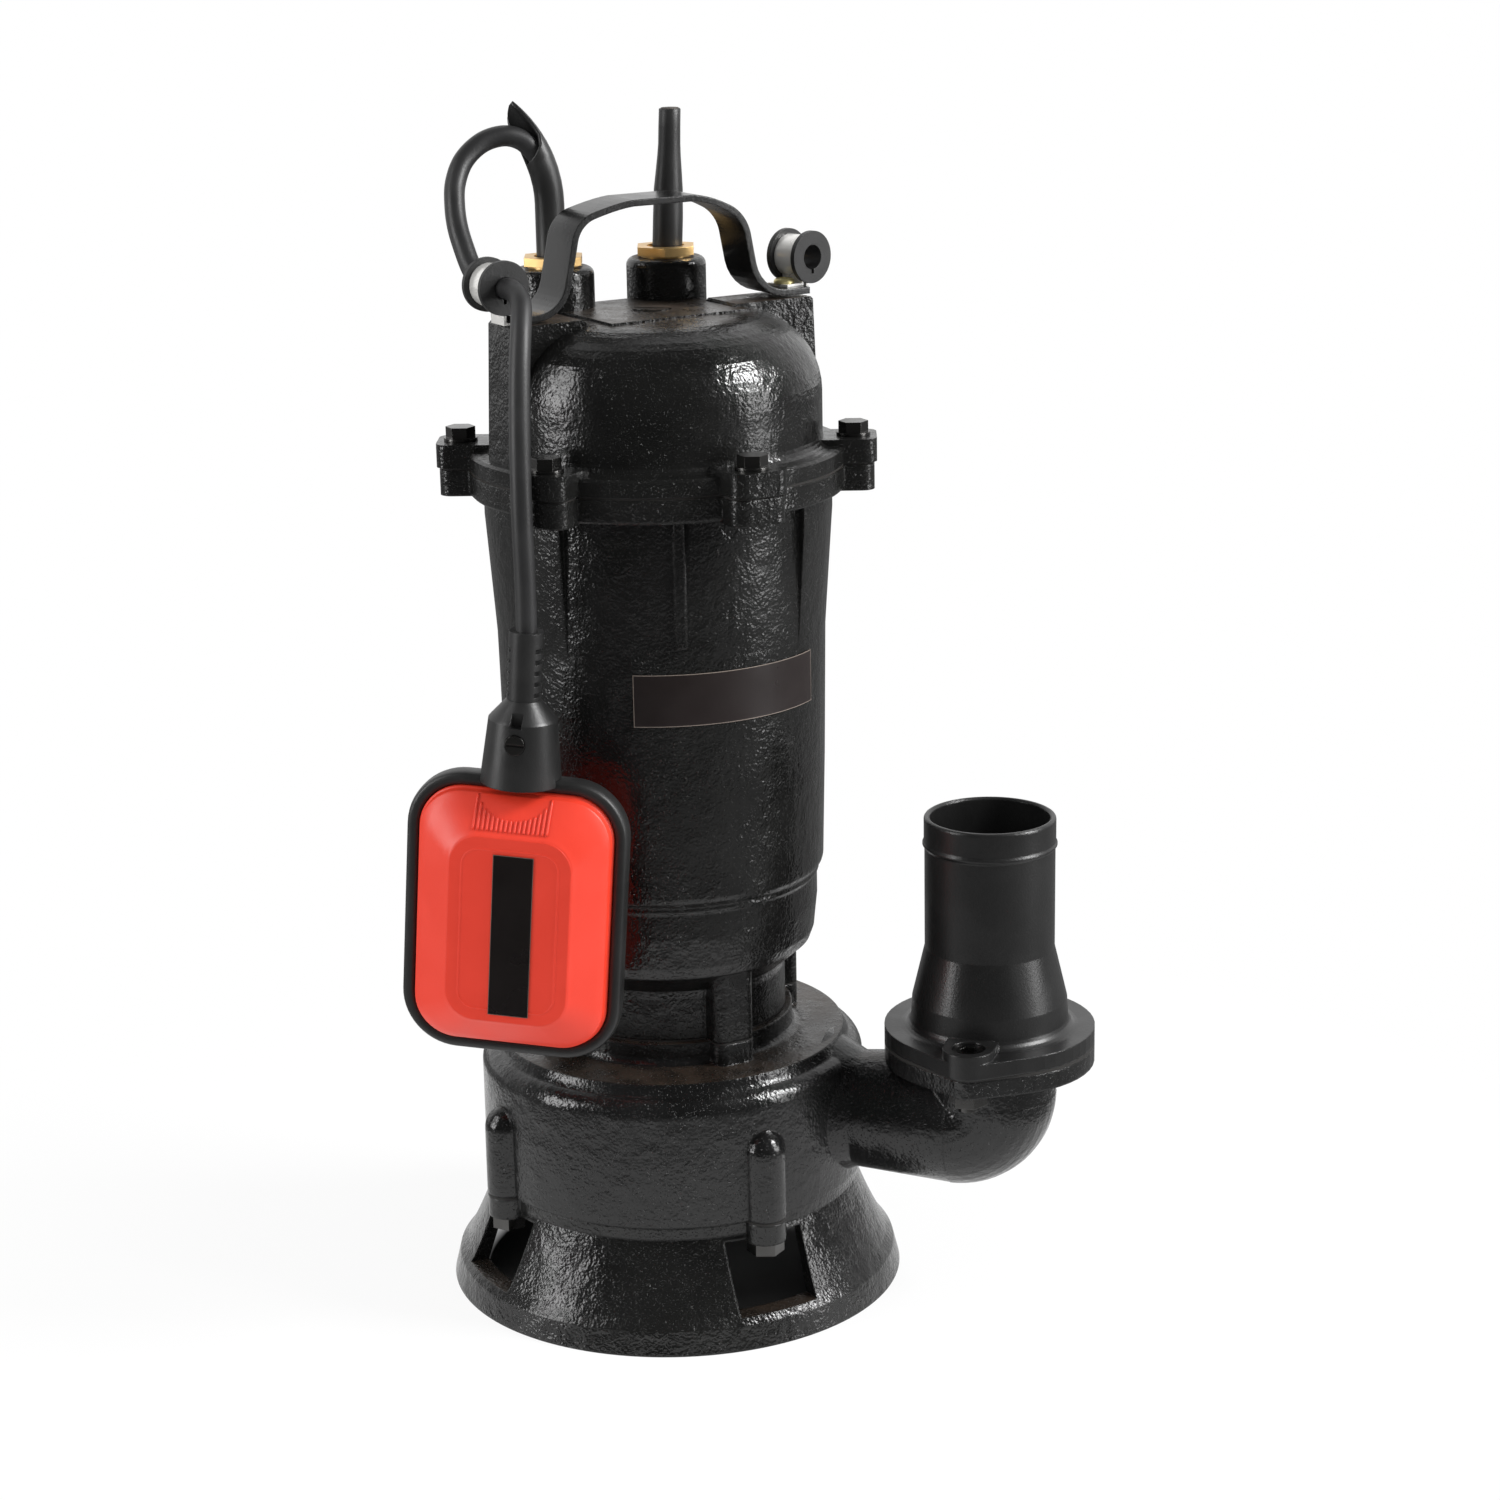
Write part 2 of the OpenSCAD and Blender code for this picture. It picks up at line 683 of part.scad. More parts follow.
module outlet_spigot() {
    color([0.09, 0.09, 0.1])
    difference() {
        union() {
            translate([outlet_x, 0, 0]) rotate_extrude() spigot_profile();
            difference() {
                translate([outlet_x, 0, flange_top_z]) linear_extrude(flange_top_t) flange_outline(flange_ear_r);
                translate([outlet_x, 0, flange_top_z - cut])
                    cylinder(h = flange_top_t + 2 * cut, r = bore_r + 1);
            }
            flange_bolt_places() translate([0, 0, flange_top_z]) {
                cylinder(h = flange_top_t + flange_pad_h, r = flange_ear_r);
                translate([-flange_ear_r, -9, 0]) cube([2 * flange_ear_r, 9, flange_top_t + flange_pad_h]);
            }
        }
        flange_bolt_places() {
            translate([0, 0, flange_top_z - cut])
                cylinder(h = flange_top_t + flange_pad_h + 2 * cut, d = flange_bolt_d + 1);
            translate([0, 0, flange_head_z])
                cylinder(h = flange_head_h + 2 * cut, r = flange_head_r + run_gap);
        }
    }
}

flange_head_z = spigot_base_z + flange_pad_h - flange_head_h - 0.8;
flange_nut_z = flange_low_z - flange_low_t - flange_nut_h;

module flange_bolts() {
    color([0.12, 0.12, 0.13])
    flange_bolt_places() {
        difference() {
            translate([0, 0, flange_head_z]) cylinder(h = flange_head_h, r = flange_head_r);
            translate([0, 0, flange_head_z + flange_head_h - 3]) hexagon(0.75 * flange_bolt_d, 4);
        }
        translate([0, 0, flange_nut_z - 2.6])
            cylinder(h = flange_head_z - flange_nut_z + 3, d = flange_bolt_d);
    }
}

module flange_nuts() {
    color([0.12, 0.12, 0.13])
    flange_bolt_places() translate([0, 0, flange_nut_z])
        difference() {
            hexagon(flange_nut_af, flange_nut_h);
            translate([0, 0, -cut]) cylinder(h = flange_nut_h + 2 * cut, d = flange_bolt_d + 2 * thread_gap);
        }
}

// ---- Seam between casing and motor housing ----

module seam_gasket() {
    color([0.1, 0.1, 0.1])
    translate([0, 0, collar_z])
    linear_extrude(seam_gasket_t)
    difference() {
        union() {
            circle(r = neck_out_r);
            for (a = column_angles) rotate(a) lug_outline(column_reach, column_w, 4);
        }
        circle(r = chamber_r);
        for (a = column_angles) rotate(a) translate([casing_screw_r, 0]) circle(d = casing_screw_d + 0.6);
    }
}

module casing_screws() {
    color([0.5, 0.5, 0.52])
    around(column_angles) translate([casing_screw_r, 0, roof_z]) {
        difference() {
            cylinder(h = socket_head_h, r = socket_head_r);
            translate([0, 0, -cut]) hexagon(5, 3 + cut);
        }
        cylinder(h = socket_head_h + casing_screw_len, d = casing_screw_d);
    }
}

// ---- Motor housing ----

ridge_z = housing_z + ridge_h;

module housing_profile() {
    neck_top = housing_z + neck_out_h;
    flare_out = drum_low_r - neck_out_r;
    panel_z = housing_top - flange_ring_t;
    polygon(concat(
        [[0, housing_z], [neck_out_r, housing_z], [neck_out_r, neck_top]],
        [[neck_out_r + 0.07 * flare_out, neck_top + 3.6], [neck_out_r + 0.78 * flare_out, neck_top + 12]],
        [[neck_out_r + 0.9 * flare_out, neck_top + 16.4], [drum_low_r, neck_top + 29]],
        [[drum_low_r, ridge_z - 4], [drum_low_r + 0.8, ridge_z - 2.5], [drum_low_r + 0.6, ridge_z - 1]],
        [[drum_r - 0.4, ridge_z + 1.4], [drum_r, ridge_z + 3]],
        [[drum_r + 0.5 * (drum_top_r - drum_r), ridge_z + 45], [drum_top_r, panel_z - 40]],
        [[drum_top_r, panel_z], [flange_ring_r - 1, panel_z], [flange_ring_r, panel_z + 1]],
        [[flange_ring_r, housing_top], [0, housing_top]]
    ));
}

// Bolt bands that swell out towards the flange, left open at the panels
module housing_bands() {
    band_z = housing_top - flange_ring_t - band_h;
    difference() {
        translate([0, 0, band_z]) rotate_extrude()
            polygon([[drum_r - 6, 0], [drum_r + 0.4, 0], [drum_top_r + band_out, band_h - 8],
                [drum_top_r + band_out, band_h], [drum_r - 6, band_h]]);
        for (mid = panel_mids)
            rotate([0, 0, mid]) panel_window(housing_top - flange_ring_t - panel_h);
    }
}

// Wedge that keeps a panel open, from its lower edge up to the flange
module panel_window(z) {
    reach = 2 * drum_r;
    translate([0, 0, z]) linear_extrude(panel_h)
        polygon([[0, 0], [reach, -reach * tan(panel_angle / 2)], [reach, reach * tan(panel_angle / 2)]]);
}

module housing_cavity() {
    cone = 12;
    translate([0, 0, housing_z - cut]) cylinder(h = chamber_top - housing_z + cut, r = chamber_r);
    translate([0, 0, chamber_top - cut]) cylinder(h = lip_seal_h + cut, r = lip_seal_r);
    translate([0, 0, chamber_top]) cylinder(h = lip_seal_h + 2, r = lip_seal_r - 3);
    translate([0, 0, low_bearing_z]) cylinder(h = low_bearing[2] + cut, r = low_bearing[1] + fit);
    rotate_extrude() polygon([
        [0, cavity_z], [drum_low_r - 11, cavity_z], [drum_low_r - 6, cavity_z + cone],
        [drum_low_r - 6, stator_z], [motor_bore_r, stator_z], [motor_bore_r, bracket_z],
        [bracket_bore_r, bracket_z], [bracket_bore_r, housing_top + cut], [0, housing_top + cut]
    ]);
}

module motor_housing() {
    rib_w = 4;
    lug_depth = flange_ring_t + 0.5;
    color([0.05, 0.05, 0.055])
    difference() {
        union() {
            rotate_extrude() housing_profile();
            housing_bands();
            around([rib_angle, rib_angle + 180])
                translate([drum_top_r - 4, -rib_w / 2, housing_top - flange_ring_t - panel_h + 5])
                    cube([5.2, rib_w, panel_h - 5]);
            around(lug_angles) translate([0, 0, housing_top - lug_depth])
                linear_extrude(lug_depth) lug_outline(lug_reach - 1, lug_w - 1, lug_corner);
            around(column_angles) translate([0, 0, housing_z + relief])
                linear_extrude(neck_out_h + 12 - relief) lug_outline(column_reach, column_w, 4);
        }
        housing_cavity();
        around(lug_angles) translate([lug_bolt_r, 0, housing_top - lug_depth - cut])
            cylinder(h = lug_depth + 2 * cut, d = cover_bolt_d + 2 * thread_gap);
        around(column_angles) translate([casing_screw_r, 0, housing_z - cut])
            cylinder(h = casing_screw_len - roof_t - collar_h + socket_head_h + 3,
                d = casing_screw_d + 2 * thread_gap);
    }
}

module cover_gasket() {
    color([0.1, 0.1, 0.1])
    translate([0, 0, housing_top])
    linear_extrude(gasket_t)
    difference() {
        union() {
            circle(r = flange_ring_r - 0.5);
            for (a = lug_angles) rotate(a) lug_outline(lug_reach - 1.5, lug_w - 2, lug_corner);
        }
        circle(r = bracket_bore_r);
        for (a = lug_angles) rotate(a) translate([lug_bolt_r, 0]) circle(d = cover_bolt_d + 0.6);
    }
}

// ---- Top cover with the handle pads and gland bosses ----

module dome_outline(inset) {
    arc_z = dome_z - dome_shoulder;
    arc_r = dome_shoulder - inset;
    polygon(concat(
        [[0, cover_z], [dome_r - inset, cover_z]],
        arc(dome_r - dome_shoulder, arc_z, arc_r, 0, 90, 12),
        [[0, dome_z - inset + (inset == 0 ? 0.8 : 0)]]
    ));
}

module cover_flange() {
    rotate_extrude() polygon(concat(
        [[0, cover_z], [flange_ring_r, cover_z], [flange_ring_r, cover_flange_z - 1]],
        [[flange_ring_r - 1, cover_flange_z], [dome_r + 4, cover_flange_z]],
        arc(dome_r + 4, cover_flange_z + 4, 4, 270, 180, 4),
        [[0, cover_flange_z + 4]]
    ));
    around(lug_angles) translate([0, 0, cover_z])
        linear_extrude(cover_flange_t + lug_rise) lug_outline(lug_reach, lug_w, lug_corner);
}

// Pads that carry the handle, from the flange up past the dome; the right one reaches further in
module handle_pads() {
    draft = 2.2;
    for (side = [0, 1]) let(inner = pad_inner - 6 * (1 - side))
        rotate([0, 0, handle_angle + 180 * side])
            rotate([90, 0, 0]) translate([0, 0, -pad_w / 2]) linear_extrude(pad_w)
                polygon([
                    [inner, dome_z - 8], [dome_r - 8, cover_z + 2], [pad_reach + draft, cover_z + 2],
                    [pad_reach, pad_z - 1], [pad_reach - 1, pad_z], [inner + 2, pad_z], [inner, plate_z - 0.4]
                ]);
}

// Flat plate between the pads that the glands stand on
module top_plate() {
    half = gland_s + 5;
    edge = 18.6;
    rotate([0, 0, handle_angle]) translate([0, 0, dome_z - 8]) linear_extrude(plate_z - dome_z + 8)
        polygon([[-half + 1.6, -edge], [half + 2.8, -edge + 1.4], [half + 1, 6], [half + 1, gland_back + 2],
            [-half - 1, gland_back + 2], [-half + 1.3, 14]]);
}

module gland_boss() {
    round_r = 3;
    rotate_extrude() polygon(concat(
        [[0, dome_z - 24], [gland_boss_r, dome_z - 24], [gland_boss_r, boss_z - round_r]],
        arc(gland_boss_r - round_r, boss_z - round_r, round_r, 0, 90, 5),
        [[0, boss_z]]
    ));
}

module top_cover() {
    bore_floor = boss_z - gland_depth;
    color([0.05, 0.05, 0.055])
    difference() {
        union() {
            cover_flange();
            rotate_extrude() dome_outline(0);
            handle_pads();
            top_plate();
            for (side = [-1, 1]) on_top(side * gland_s, -gland_back, 0) gland_boss();
        }
        translate([0, 0, -cut]) rotate_extrude() dome_outline(dome_wall);
        translate([0, 0, cover_z - 2 * cut]) cylinder(h = 4 * cut, r = dome_r - dome_wall);
        for (side = [-1, 1]) on_top(side * gland_s, -gland_back, 0) {
            translate([0, 0, bore_floor]) cylinder(h = gland_depth + cut, d = gland_thread_d + 2 * thread_gap);
            translate([0, 0, cover_z + 10]) cylinder(h = bore_floor, d = sleeve_d + 1);
        }
        around(lug_angles) translate([lug_bolt_r, 0, cover_z - cut])
            cylinder(h = cover_flange_t + lug_rise + 2 * cut, d = cover_bolt_d + 0.6);
        for (side = [-1, 1]) on_top(side * handle_screw_s, 0, pad_z - 15)
            cylinder(h = 15 + cut, d = handle_screw_d + 2 * thread_gap);
        on_top(plug_s, -plug_back, 0) {
            translate([0, 0, plate_z - 2]) cylinder(h = 2 + cut, d = plug_d + 2 * thread_gap);
            translate([0, 0, dome_z - dome_wall - 2 * cut])
                cylinder(h = dome_wall + plate_up + cut, d = plug_d - 4);
        }
    }
}

module cover_bolts() {
    color([0.1, 0.1, 0.11])
    around(lug_angles) translate([lug_bolt_r, 0, cover_flange_z + lug_rise]) {
        cylinder(h = cover_washer_t, r = cover_washer_r);
        hexagon(cover_bolt_af, cover_bolt_head);
        translate([0, 0, -cover_bolt_len]) cylinder(h = cover_bolt_len + 1, d = cover_bolt_d);
    }
}

module cover_plug() {
    color([0.25, 0.25, 0.26])
    on_top(plug_s, -plug_back, 0) rotate([0, 0, -handle_angle]) difference() {
        union() {
            translate([0, 0, plate_z - 2]) cylinder(h = 2.4, d = plug_d);
            translate([0, 0, dome_z - dome_wall]) cylinder(h = dome_wall + plate_up - 1, d = plug_d - 4 - 2 * thread_gap);
        }
        translate([-plug_d / 2 - cut, -0.8, plate_z - 0.8]) cube([plug_d + 2 * cut, 1.6, 2]);
    }
}

// ---- Cable glands ----

seal_z = boss_z - gland_depth + 0.5;
gland_nut_z = boss_z + 0.9;
sleeve_r = sleeve_d / 2;

module gland_places() {
    for (side = [-1, 1]) on_top(side * gland_s, -gland_back, 0) children();
}

module gland_nuts() {
    color([0.78, 0.6, 0.25])
    gland_places() difference() {
        union() {
            translate([0, 0, gland_nut_z - gland_thread_h]) cylinder(h = gland_thread_h + 1, d = gland_thread_d);
            translate([0, 0, gland_nut_z]) hexagon(gland_af, gland_hex_h);
        }
        translate([0, 0, gland_nut_z - gland_thread_h - cut])
            cylinder(h = gland_thread_h + gland_hex_h + 2 * cut, r = sleeve_r + thread_gap);
        translate([0, 0, gland_nut_z + gland_hex_h - 1.2]) cylinder(h = 1.2 + cut, r = sleeve_r + 1.4);
    }
}

module gland_seals() {
    color([0.08, 0.08, 0.08])
    gland_places() translate([0, 0, seal_z])
        ring(gland_thread_d / 2, sleeve_r + thread_gap, gland_nut_z - gland_thread_h - seal_z - thread_gap);
}

sleeve_base_z = seal_z;
supply_sleeve_top = gland_nut_z + gland_hex_h + supply_sleeve_h;
supply_neck_r = supply_cord_d / 2 + 0.8;
supply_taper_z = supply_sleeve_top - 31;

module supply_sleeve() {
    taper_h = 18;
    color([0.07, 0.07, 0.07])
    on_top(gland_s, -gland_back, 0) rotate_extrude() polygon([
        [supply_cord_d / 2 + thread_gap, sleeve_base_z], [sleeve_r, sleeve_base_z],
        [sleeve_r, supply_taper_z], [supply_neck_r, supply_taper_z + taper_h],
        [supply_neck_r, supply_sleeve_top], [supply_cord_d / 2 + thread_gap, supply_sleeve_top]
    ]);
}

module supply_cord() {
    color([0.2, 0.2, 0.2])
    on_top(gland_s, -gland_back, sleeve_base_z - 4)
        cylinder(h = supply_sleeve_top - sleeve_base_z + 4, d = supply_cord_d);
}

// Sleeve of the float's cord: straight, then bent over and cut to a beak
module float_sleeve() {
    bend_r = 45;
    bend_z = gland_nut_z + gland_hex_h + 19.8;
    bend_to = 196;
    tube_in = cord_d / 2 + thread_gap;
    mouth_low = [8.75, bend_z + 14.6];
    beak = [11.9, bend_z + 38.7];
    clear_x = 60;
    color([0.07, 0.07, 0.07])
    translate([-gland_s * along[0] - gland_back * front[0], -gland_s * along[1] - gland_back * front[1], 0])
    rotate([0, 0, bend_to]) difference() {
        bent_rod(sleeve_r, sleeve_base_z, bend_z, bend_r);
        bent_rod(tube_in, sleeve_base_z - cut, bend_z, bend_r);
        rotate([90, 0, 0]) linear_extrude(4 * sleeve_r, center = true)
            polygon([mouth_low, beak, beak + [2, 20], [clear_x, bend_z + 56], [clear_x, bend_z + 6], [12, bend_z + 6]]);
    }
}

// A rod that rises straight to a height and then bends over towards +X
module bent_rod(r, low, bend_z, bend_r) {
    translate([0, 0, low]) cylinder(h = bend_z - low + 0.4, r = r + 0.03);
    translate([bend_r, 0, bend_z]) rotate([90, 0, 0]) rotate([0, 0, 128])
        rotate_extrude(angle = 52) translate([bend_r, 0]) circle(r = r);
}

// ---- Cords ----

function unit(v) = v / norm(v);

function tangent(p, i) =
    unit(p[min(i + 1, len(p) - 1)] - p[max(i - 1, 0)]);

// Points half way along each stretch, bent to the curve through its neighbours
function halved(p) = [for (i = [0 : len(p) - 1]) each (i == len(p) - 1 ? [p[i]] : [p[i],
    (9 * (p[i] + p[i + 1]) - p[max(i - 1, 0)] - p[min(i + 2, len(p) - 1)]) / 16])];

// Side directions carried along the route without twisting
function carried(p, i, n) =
    i == len(p) ? [] : let(t = tangent(p, i), side = unit(n - (n * t) * t))
        concat([side], carried(p, i + 1, side));

module swept_tube(route, d, sides) {
    p = halved(route);
    side = carried(p, 0, [0.3, 1, 0.1]);
    rings = len(p);
    points = [for (i = [0 : rings - 1], k = [0 : sides - 1])
        let(t = tangent(p, i), a = 360 * k / sides)
            p[i] + d / 2 * (cos(a) * side[i] + sin(a) * cross(t, side[i]))];
    walls = [for (i = [0 : rings - 2], k = [0 : sides - 1])
        let(a = i * sides + k, b = i * sides + (k + 1) % sides) [a, a + sides, b + sides, b]];
    ends = [[for (k = [0 : sides - 1]) k], [for (k = [sides - 1 : -1 : 0]) (rings - 1) * sides + k]];
    polyhedron(points, concat(walls, ends));
}

module float_cord_loop() {
    color([0.09, 0.09, 0.09]) swept_tube(loop_route, cord_d, cord_sides);
}

module float_cord_drop() {
    color([0.09, 0.09, 0.09]) swept_tube(drop_route, cord_d, cord_sides);
}

// ---- Handle and cable clips ----

// Bends of the strap, right and left: the foot's radius and distance; then the shoulder's radius,
// how far its centre lies in from the half width and under the crown, and where its arc ends
strap_bends = [[14, 54, 17, 17.1, 20.6, 64], [12.5, 55.2, 13, 11.7, 16.4, 72]];

// Half of the strap's face at a depth under its top: foot, leg, shoulder and crown
function strap_face(depth, bend) = let(
    top = strap_z + handle_h - clip_t,
    lean = 12.5,
    shoulder = arc(handle_half - bend[3], top - bend[4], bend[2] - depth, lean, bend[5], 9)
) concat(
    [[handle_end, strap_z + handle_t - depth]],
    arc(bend[1], strap_z + handle_t + bend[0], bend[0] + depth, 270, 180 + lean, 7),
    shoulder,
    curve(shoulder[9], [handle_half - 18.7, top - 0.9 - depth], [13, top - 0.4 - depth], 5)
);

function mirrored(p) = [for (q = p) [-q[0], q[1]]];
function reversed(p) = [for (i = [len(p) - 1 : -1 : 0]) p[i]];

module strap_outline() {
    polygon(concat(
        strap_face(0, strap_bends[0]), reversed(mirrored(strap_face(0, strap_bends[1]))),
        mirrored(strap_face(handle_t, strap_bends[1])), reversed(strap_face(handle_t, strap_bends[0]))
    ));
}

module handle() {
    color([0.07, 0.07, 0.075])
    difference() {
        rotate([0, 0, handle_angle]) rotate([90, 0, 0])
            linear_extrude(handle_w, center = true) strap_outline();
        for (side = [-1, 1]) on_top(side * handle_screw_s, 0, strap_z - cut)
            cylinder(h = handle_t + 2 * cut, d = handle_screw_d + 0.6);
    }
}

handle_screw_head_z = strap_z + handle_t + clip_t;

module handle_screws() {
    color([0.75, 0.68, 0.35])
    for (side = [-1, 1]) on_top(side * handle_screw_s, 0, 0) difference() {
        union() {
            translate([0, 0, handle_screw_head_z]) rotate_extrude()
                polygon(concat([[0, 0], [handle_head_r, 0]], arc(handle_head_r - 1.6, 0.4, 1.6, 0, 80, 5), [[0, 2]]));
            translate([0, 0, pad_z - 13])
                cylinder(h = handle_screw_head_z - pad_z + 14, d = handle_screw_d);
        }
        translate([-2.5, -0.5, handle_screw_head_z + 1]) cube([5, 1, 3]);
        translate([-0.5, -2.5, handle_screw_head_z + 1]) cube([1, 5, 3]);
    }
}

// Puts the children at a clip: the screw at the origin, the ring out along +X
module clip_places() {
    for (i = [0, 1]) on_top(clip_sides[i] * handle_screw_s, 0, 0)
        rotate([0, 0, clip_turns[i]]) children();
}

// Strap of a clip: a tail under the strap's foot, up round the ring, and back over it
module clip_bands() {
    tail = 3.5;
    low = pad_z;
    high = strap_z + handle_t;
    riser = handle_end - handle_screw_s + 1.4;
    inner_riser = handle_head_r + 0.4;
    r_in = clip_ring_r;
    ring_low = clip_z - sqrt(pow(r_in, 2) - pow(clip_out - inner_riser - clip_t, 2));
    r_out = r_in + clip_t;
    color([0.75, 0.76, 0.78])
    clip_places() difference() {
        rotate([90, 0, 0]) linear_extrude(clip_w, center = true) {
            translate([clip_out, clip_z]) difference() {
                circle(r = r_out);
                circle(r = r_in);
            }
            translate([-tail, low]) square([tail + riser + clip_t, clip_t]);
            translate([riser, low]) square([clip_t, clip_z - r_in - low]);
            translate([-tail, high]) square([tail + inner_riser + clip_t, clip_t]);
            translate([inner_riser, high]) square([clip_t, ring_low - high]);
        }
        translate([0, 0, pad_z - cut]) cylinder(h = handle_t + 2 * clip_t + 2 * cut, d = handle_screw_d + 0.4);
    }
}

// Rubber grommets: two flanges on a barrel, slit at the hole; the left one grips the cord
module clip_grommets() {
    barrel_r = clip_ring_r - fit;
    hole_r = [cord_d / 2 + thread_gap, grommet_hole_d / 2];
    color([0.08, 0.08, 0.08])
    for (i = [0, 1]) on_top(clip_sides[i] * handle_screw_s, 0, clip_z)
        rotate([0, 0, clip_turns[i]]) translate([clip_out, 0, 0]) rotate([90, 0, 0]) difference() {
            translate([0, 0, -grommet_len / 2]) rotate_extrude() polygon([
                [hole_r[i], 0], [grommet_r, 0], [grommet_r, grommet_disc], [barrel_r, grommet_disc],
                [barrel_r, grommet_len - grommet_disc], [grommet_r, grommet_len - grommet_disc],
                [grommet_r, grommet_len], [hole_r[i], grommet_len]
            ]);
            translate([-0.6, -hole_r[i] - 1.8, -grommet_len]) cube([1.2, 3, 2 * grommet_len]);
        }
}

// ---- Stator and electrics ----

module stator_slots(clear) {
    slot_in = stator_bore_r + 2.5;
    for (i = [0 : slot_count - 1]) rotate(360 * i / slot_count)
        translate([slot_in - clear, -2 - clear]) square([15 + 2 * clear, 4 + 2 * clear]);
}

module stator_core() {
    color([0.35, 0.36, 0.38])
    translate([0, 0, stator_z]) linear_extrude(stack_h) difference() {
        circle(r = stator_r);
        circle(r = stator_bore_r);
        stator_slots(thread_gap);
    }
}

module stator_windings() {
    r_in = stator_bore_r + 2;
    r_out = r_in + 16;
    color([0.7, 0.35, 0.15]) {
        translate([0, 0, stator_z - winding_h]) ring(r_out, r_in, winding_h - thread_gap);
        translate([0, 0, stator_top + thread_gap]) ring(r_out, r_in, winding_h);
        translate([0, 0, stator_z - 1]) linear_extrude(stack_h + 2) stator_slots(0);
    }
}

module bearing_bracket() {
    hub_out = top_bearing[1] + 4;
    hub_h = top_bearing[2] + 5;
    vent_at = 40;
    vent_r = 9;
    color([0.55, 0.56, 0.58])
    translate([0, 0, bracket_z]) difference() {
        union() {
            cylinder(h = bracket_t, r = bracket_bore_r - fit);
            cylinder(h = hub_h, r = hub_out);
        }
        translate([0, 0, -cut]) cylinder(h = hub_h + 2 * cut, r = shaft_r + 1.5);
        translate([0, 0, top_bearing_z - bracket_z]) cylinder(h = hub_h, r = top_bearing[1] + fit);
        around([0, 120, 180]) translate([vent_at, 0, -cut]) cylinder(h = bracket_t + 2 * cut, r = vent_r);
    }
}

module start_capacitor() {
    can_r = 15;
    can_h = 52;
    color([0.8, 0.8, 0.78])
    rotate([0, 0, -90]) translate([bracket_bore_r - can_r - 2, 0, bracket_z + bracket_t]) {
        cylinder(h = can_h, r = can_r);
        for (side = [-5, 5]) translate([-0.4, side - 3, can_h]) cube([0.8, 6, 8]);
    }
}

// ---- Bearings, shaft and seals ----

// Rings of a ball bearing: size is [bore radius, outer radius, width, ball radius]
module race(size, r_out, r_in) {
    pitch = (size[0] + size[1]) / 2;
    rotate_extrude() difference() {
        translate([r_in, 0]) square([r_out - r_in, size[2]]);
        translate([pitch, size[2] / 2]) circle(r = size[3] + fit + 0.01);
    }
}

module outer_race(size) {
    race(size, size[1], (size[0] + size[1]) / 2 + 0.6 * size[3]);
}

module inner_race(size) {
    race(size, (size[0] + size[1]) / 2 - 0.6 * size[3], size[0] + fit);
}

module ball_ring(size) {
    around([for (i = [0 : ball_count - 1]) 360 * i / ball_count])
        translate([(size[0] + size[1]) / 2, 0, size[2] / 2]) sphere(r = size[3]);
}

module ball_cage(size) {
    pitch = (size[0] + size[1]) / 2;
    cage_h = 2 * size[3] + 2.4;
    difference() {
        translate([0, 0, (size[2] - cage_h) / 2]) ring(pitch + 0.36 * size[3], pitch - 0.36 * size[3], cage_h);
        around([for (i = [0 : ball_count - 1]) 360 * i / ball_count])
            translate([pitch - size[3], 0, size[2] / 2]) rotate([0, 90, 0])
                cylinder(h = 2 * size[3], r = size[3] + thread_gap);
    }
}

module bearing_outer_rings() {
    color([0.7, 0.7, 0.72]) {
        translate([0, 0, low_bearing_z]) outer_race(low_bearing);
        translate([0, 0, top_bearing_z]) outer_race(top_bearing);
    }
}

module bearing_inner_rings() {
    color([0.72, 0.72, 0.74]) {
        translate([0, 0, low_bearing_z]) inner_race(low_bearing);
        translate([0, 0, top_bearing_z]) inner_race(top_bearing);
    }
}

module lower_balls() {
    color([0.85, 0.85, 0.87]) translate([0, 0, low_bearing_z]) ball_ring(low_bearing);
}

module lower_ball_cage() {
    color([0.75, 0.6, 0.3]) translate([0, 0, low_bearing_z]) ball_cage(low_bearing);
}

module upper_balls() {
    color([0.85, 0.85, 0.87]) translate([0, 0, top_bearing_z]) ball_ring(top_bearing);
}

module upper_ball_cage() {
    color([0.75, 0.6, 0.3]) translate([0, 0, top_bearing_z]) ball_cage(top_bearing);
}

module seal_seat() {
    color([0.85, 0.83, 0.78])
    translate([0, 0, roof_z + 2]) ring(seal_r + 7 - fit, seal_r + 1.5, roof_t - 2.5);
}

// Turning half of the shaft seal: carbon face, bellows and spring cup
module seal_head() {
    face_z = disc_z - 0.5 + run_gap;
    color([0.3, 0.3, 0.32])
    translate([0, 0, face_z]) rotate_extrude() polygon([
        [seal_r + fit, 0], [seal_r + 5, 0], [seal_r + 5, 3], [seal_r + 6, 3.6],
        [seal_r + 6, 12], [seal_r + 4.5, 14], [seal_r + fit, 14]
    ]);
}

module lip_seal() {
    color([0.15, 0.12, 0.1])
    translate([0, 0, chamber_top]) ring(lip_seal_r - fit, lip_r + fit, lip_seal_h);
}

module shaft() {
    thread_r = 5;
    color([0.7, 0.7, 0.72])
    difference() {
        rotate_extrude() polygon([
            [0, impeller_z + 0.5], [thread_r, impeller_z + 0.5], [thread_r, hub_z], [seal_r, hub_z],
            [seal_r, chamber_top - 2], [lip_r, chamber_top - 2], [lip_r, low_bearing_z - 0.5],
            [low_bearing[0], low_bearing_z - 0.5], [low_bearing[0], cavity_z], [shaft_r, cavity_z],
            [shaft_r, top_bearing_z - 0.2], [top_bearing[0], top_bearing_z - 0.2], [top_bearing[0], shaft_top],
            [0, shaft_top]
        ]);
        translate([seal_r - 2.5, -key_w / 2, key_z]) cube([5, key_w, key_len]);
    }
}

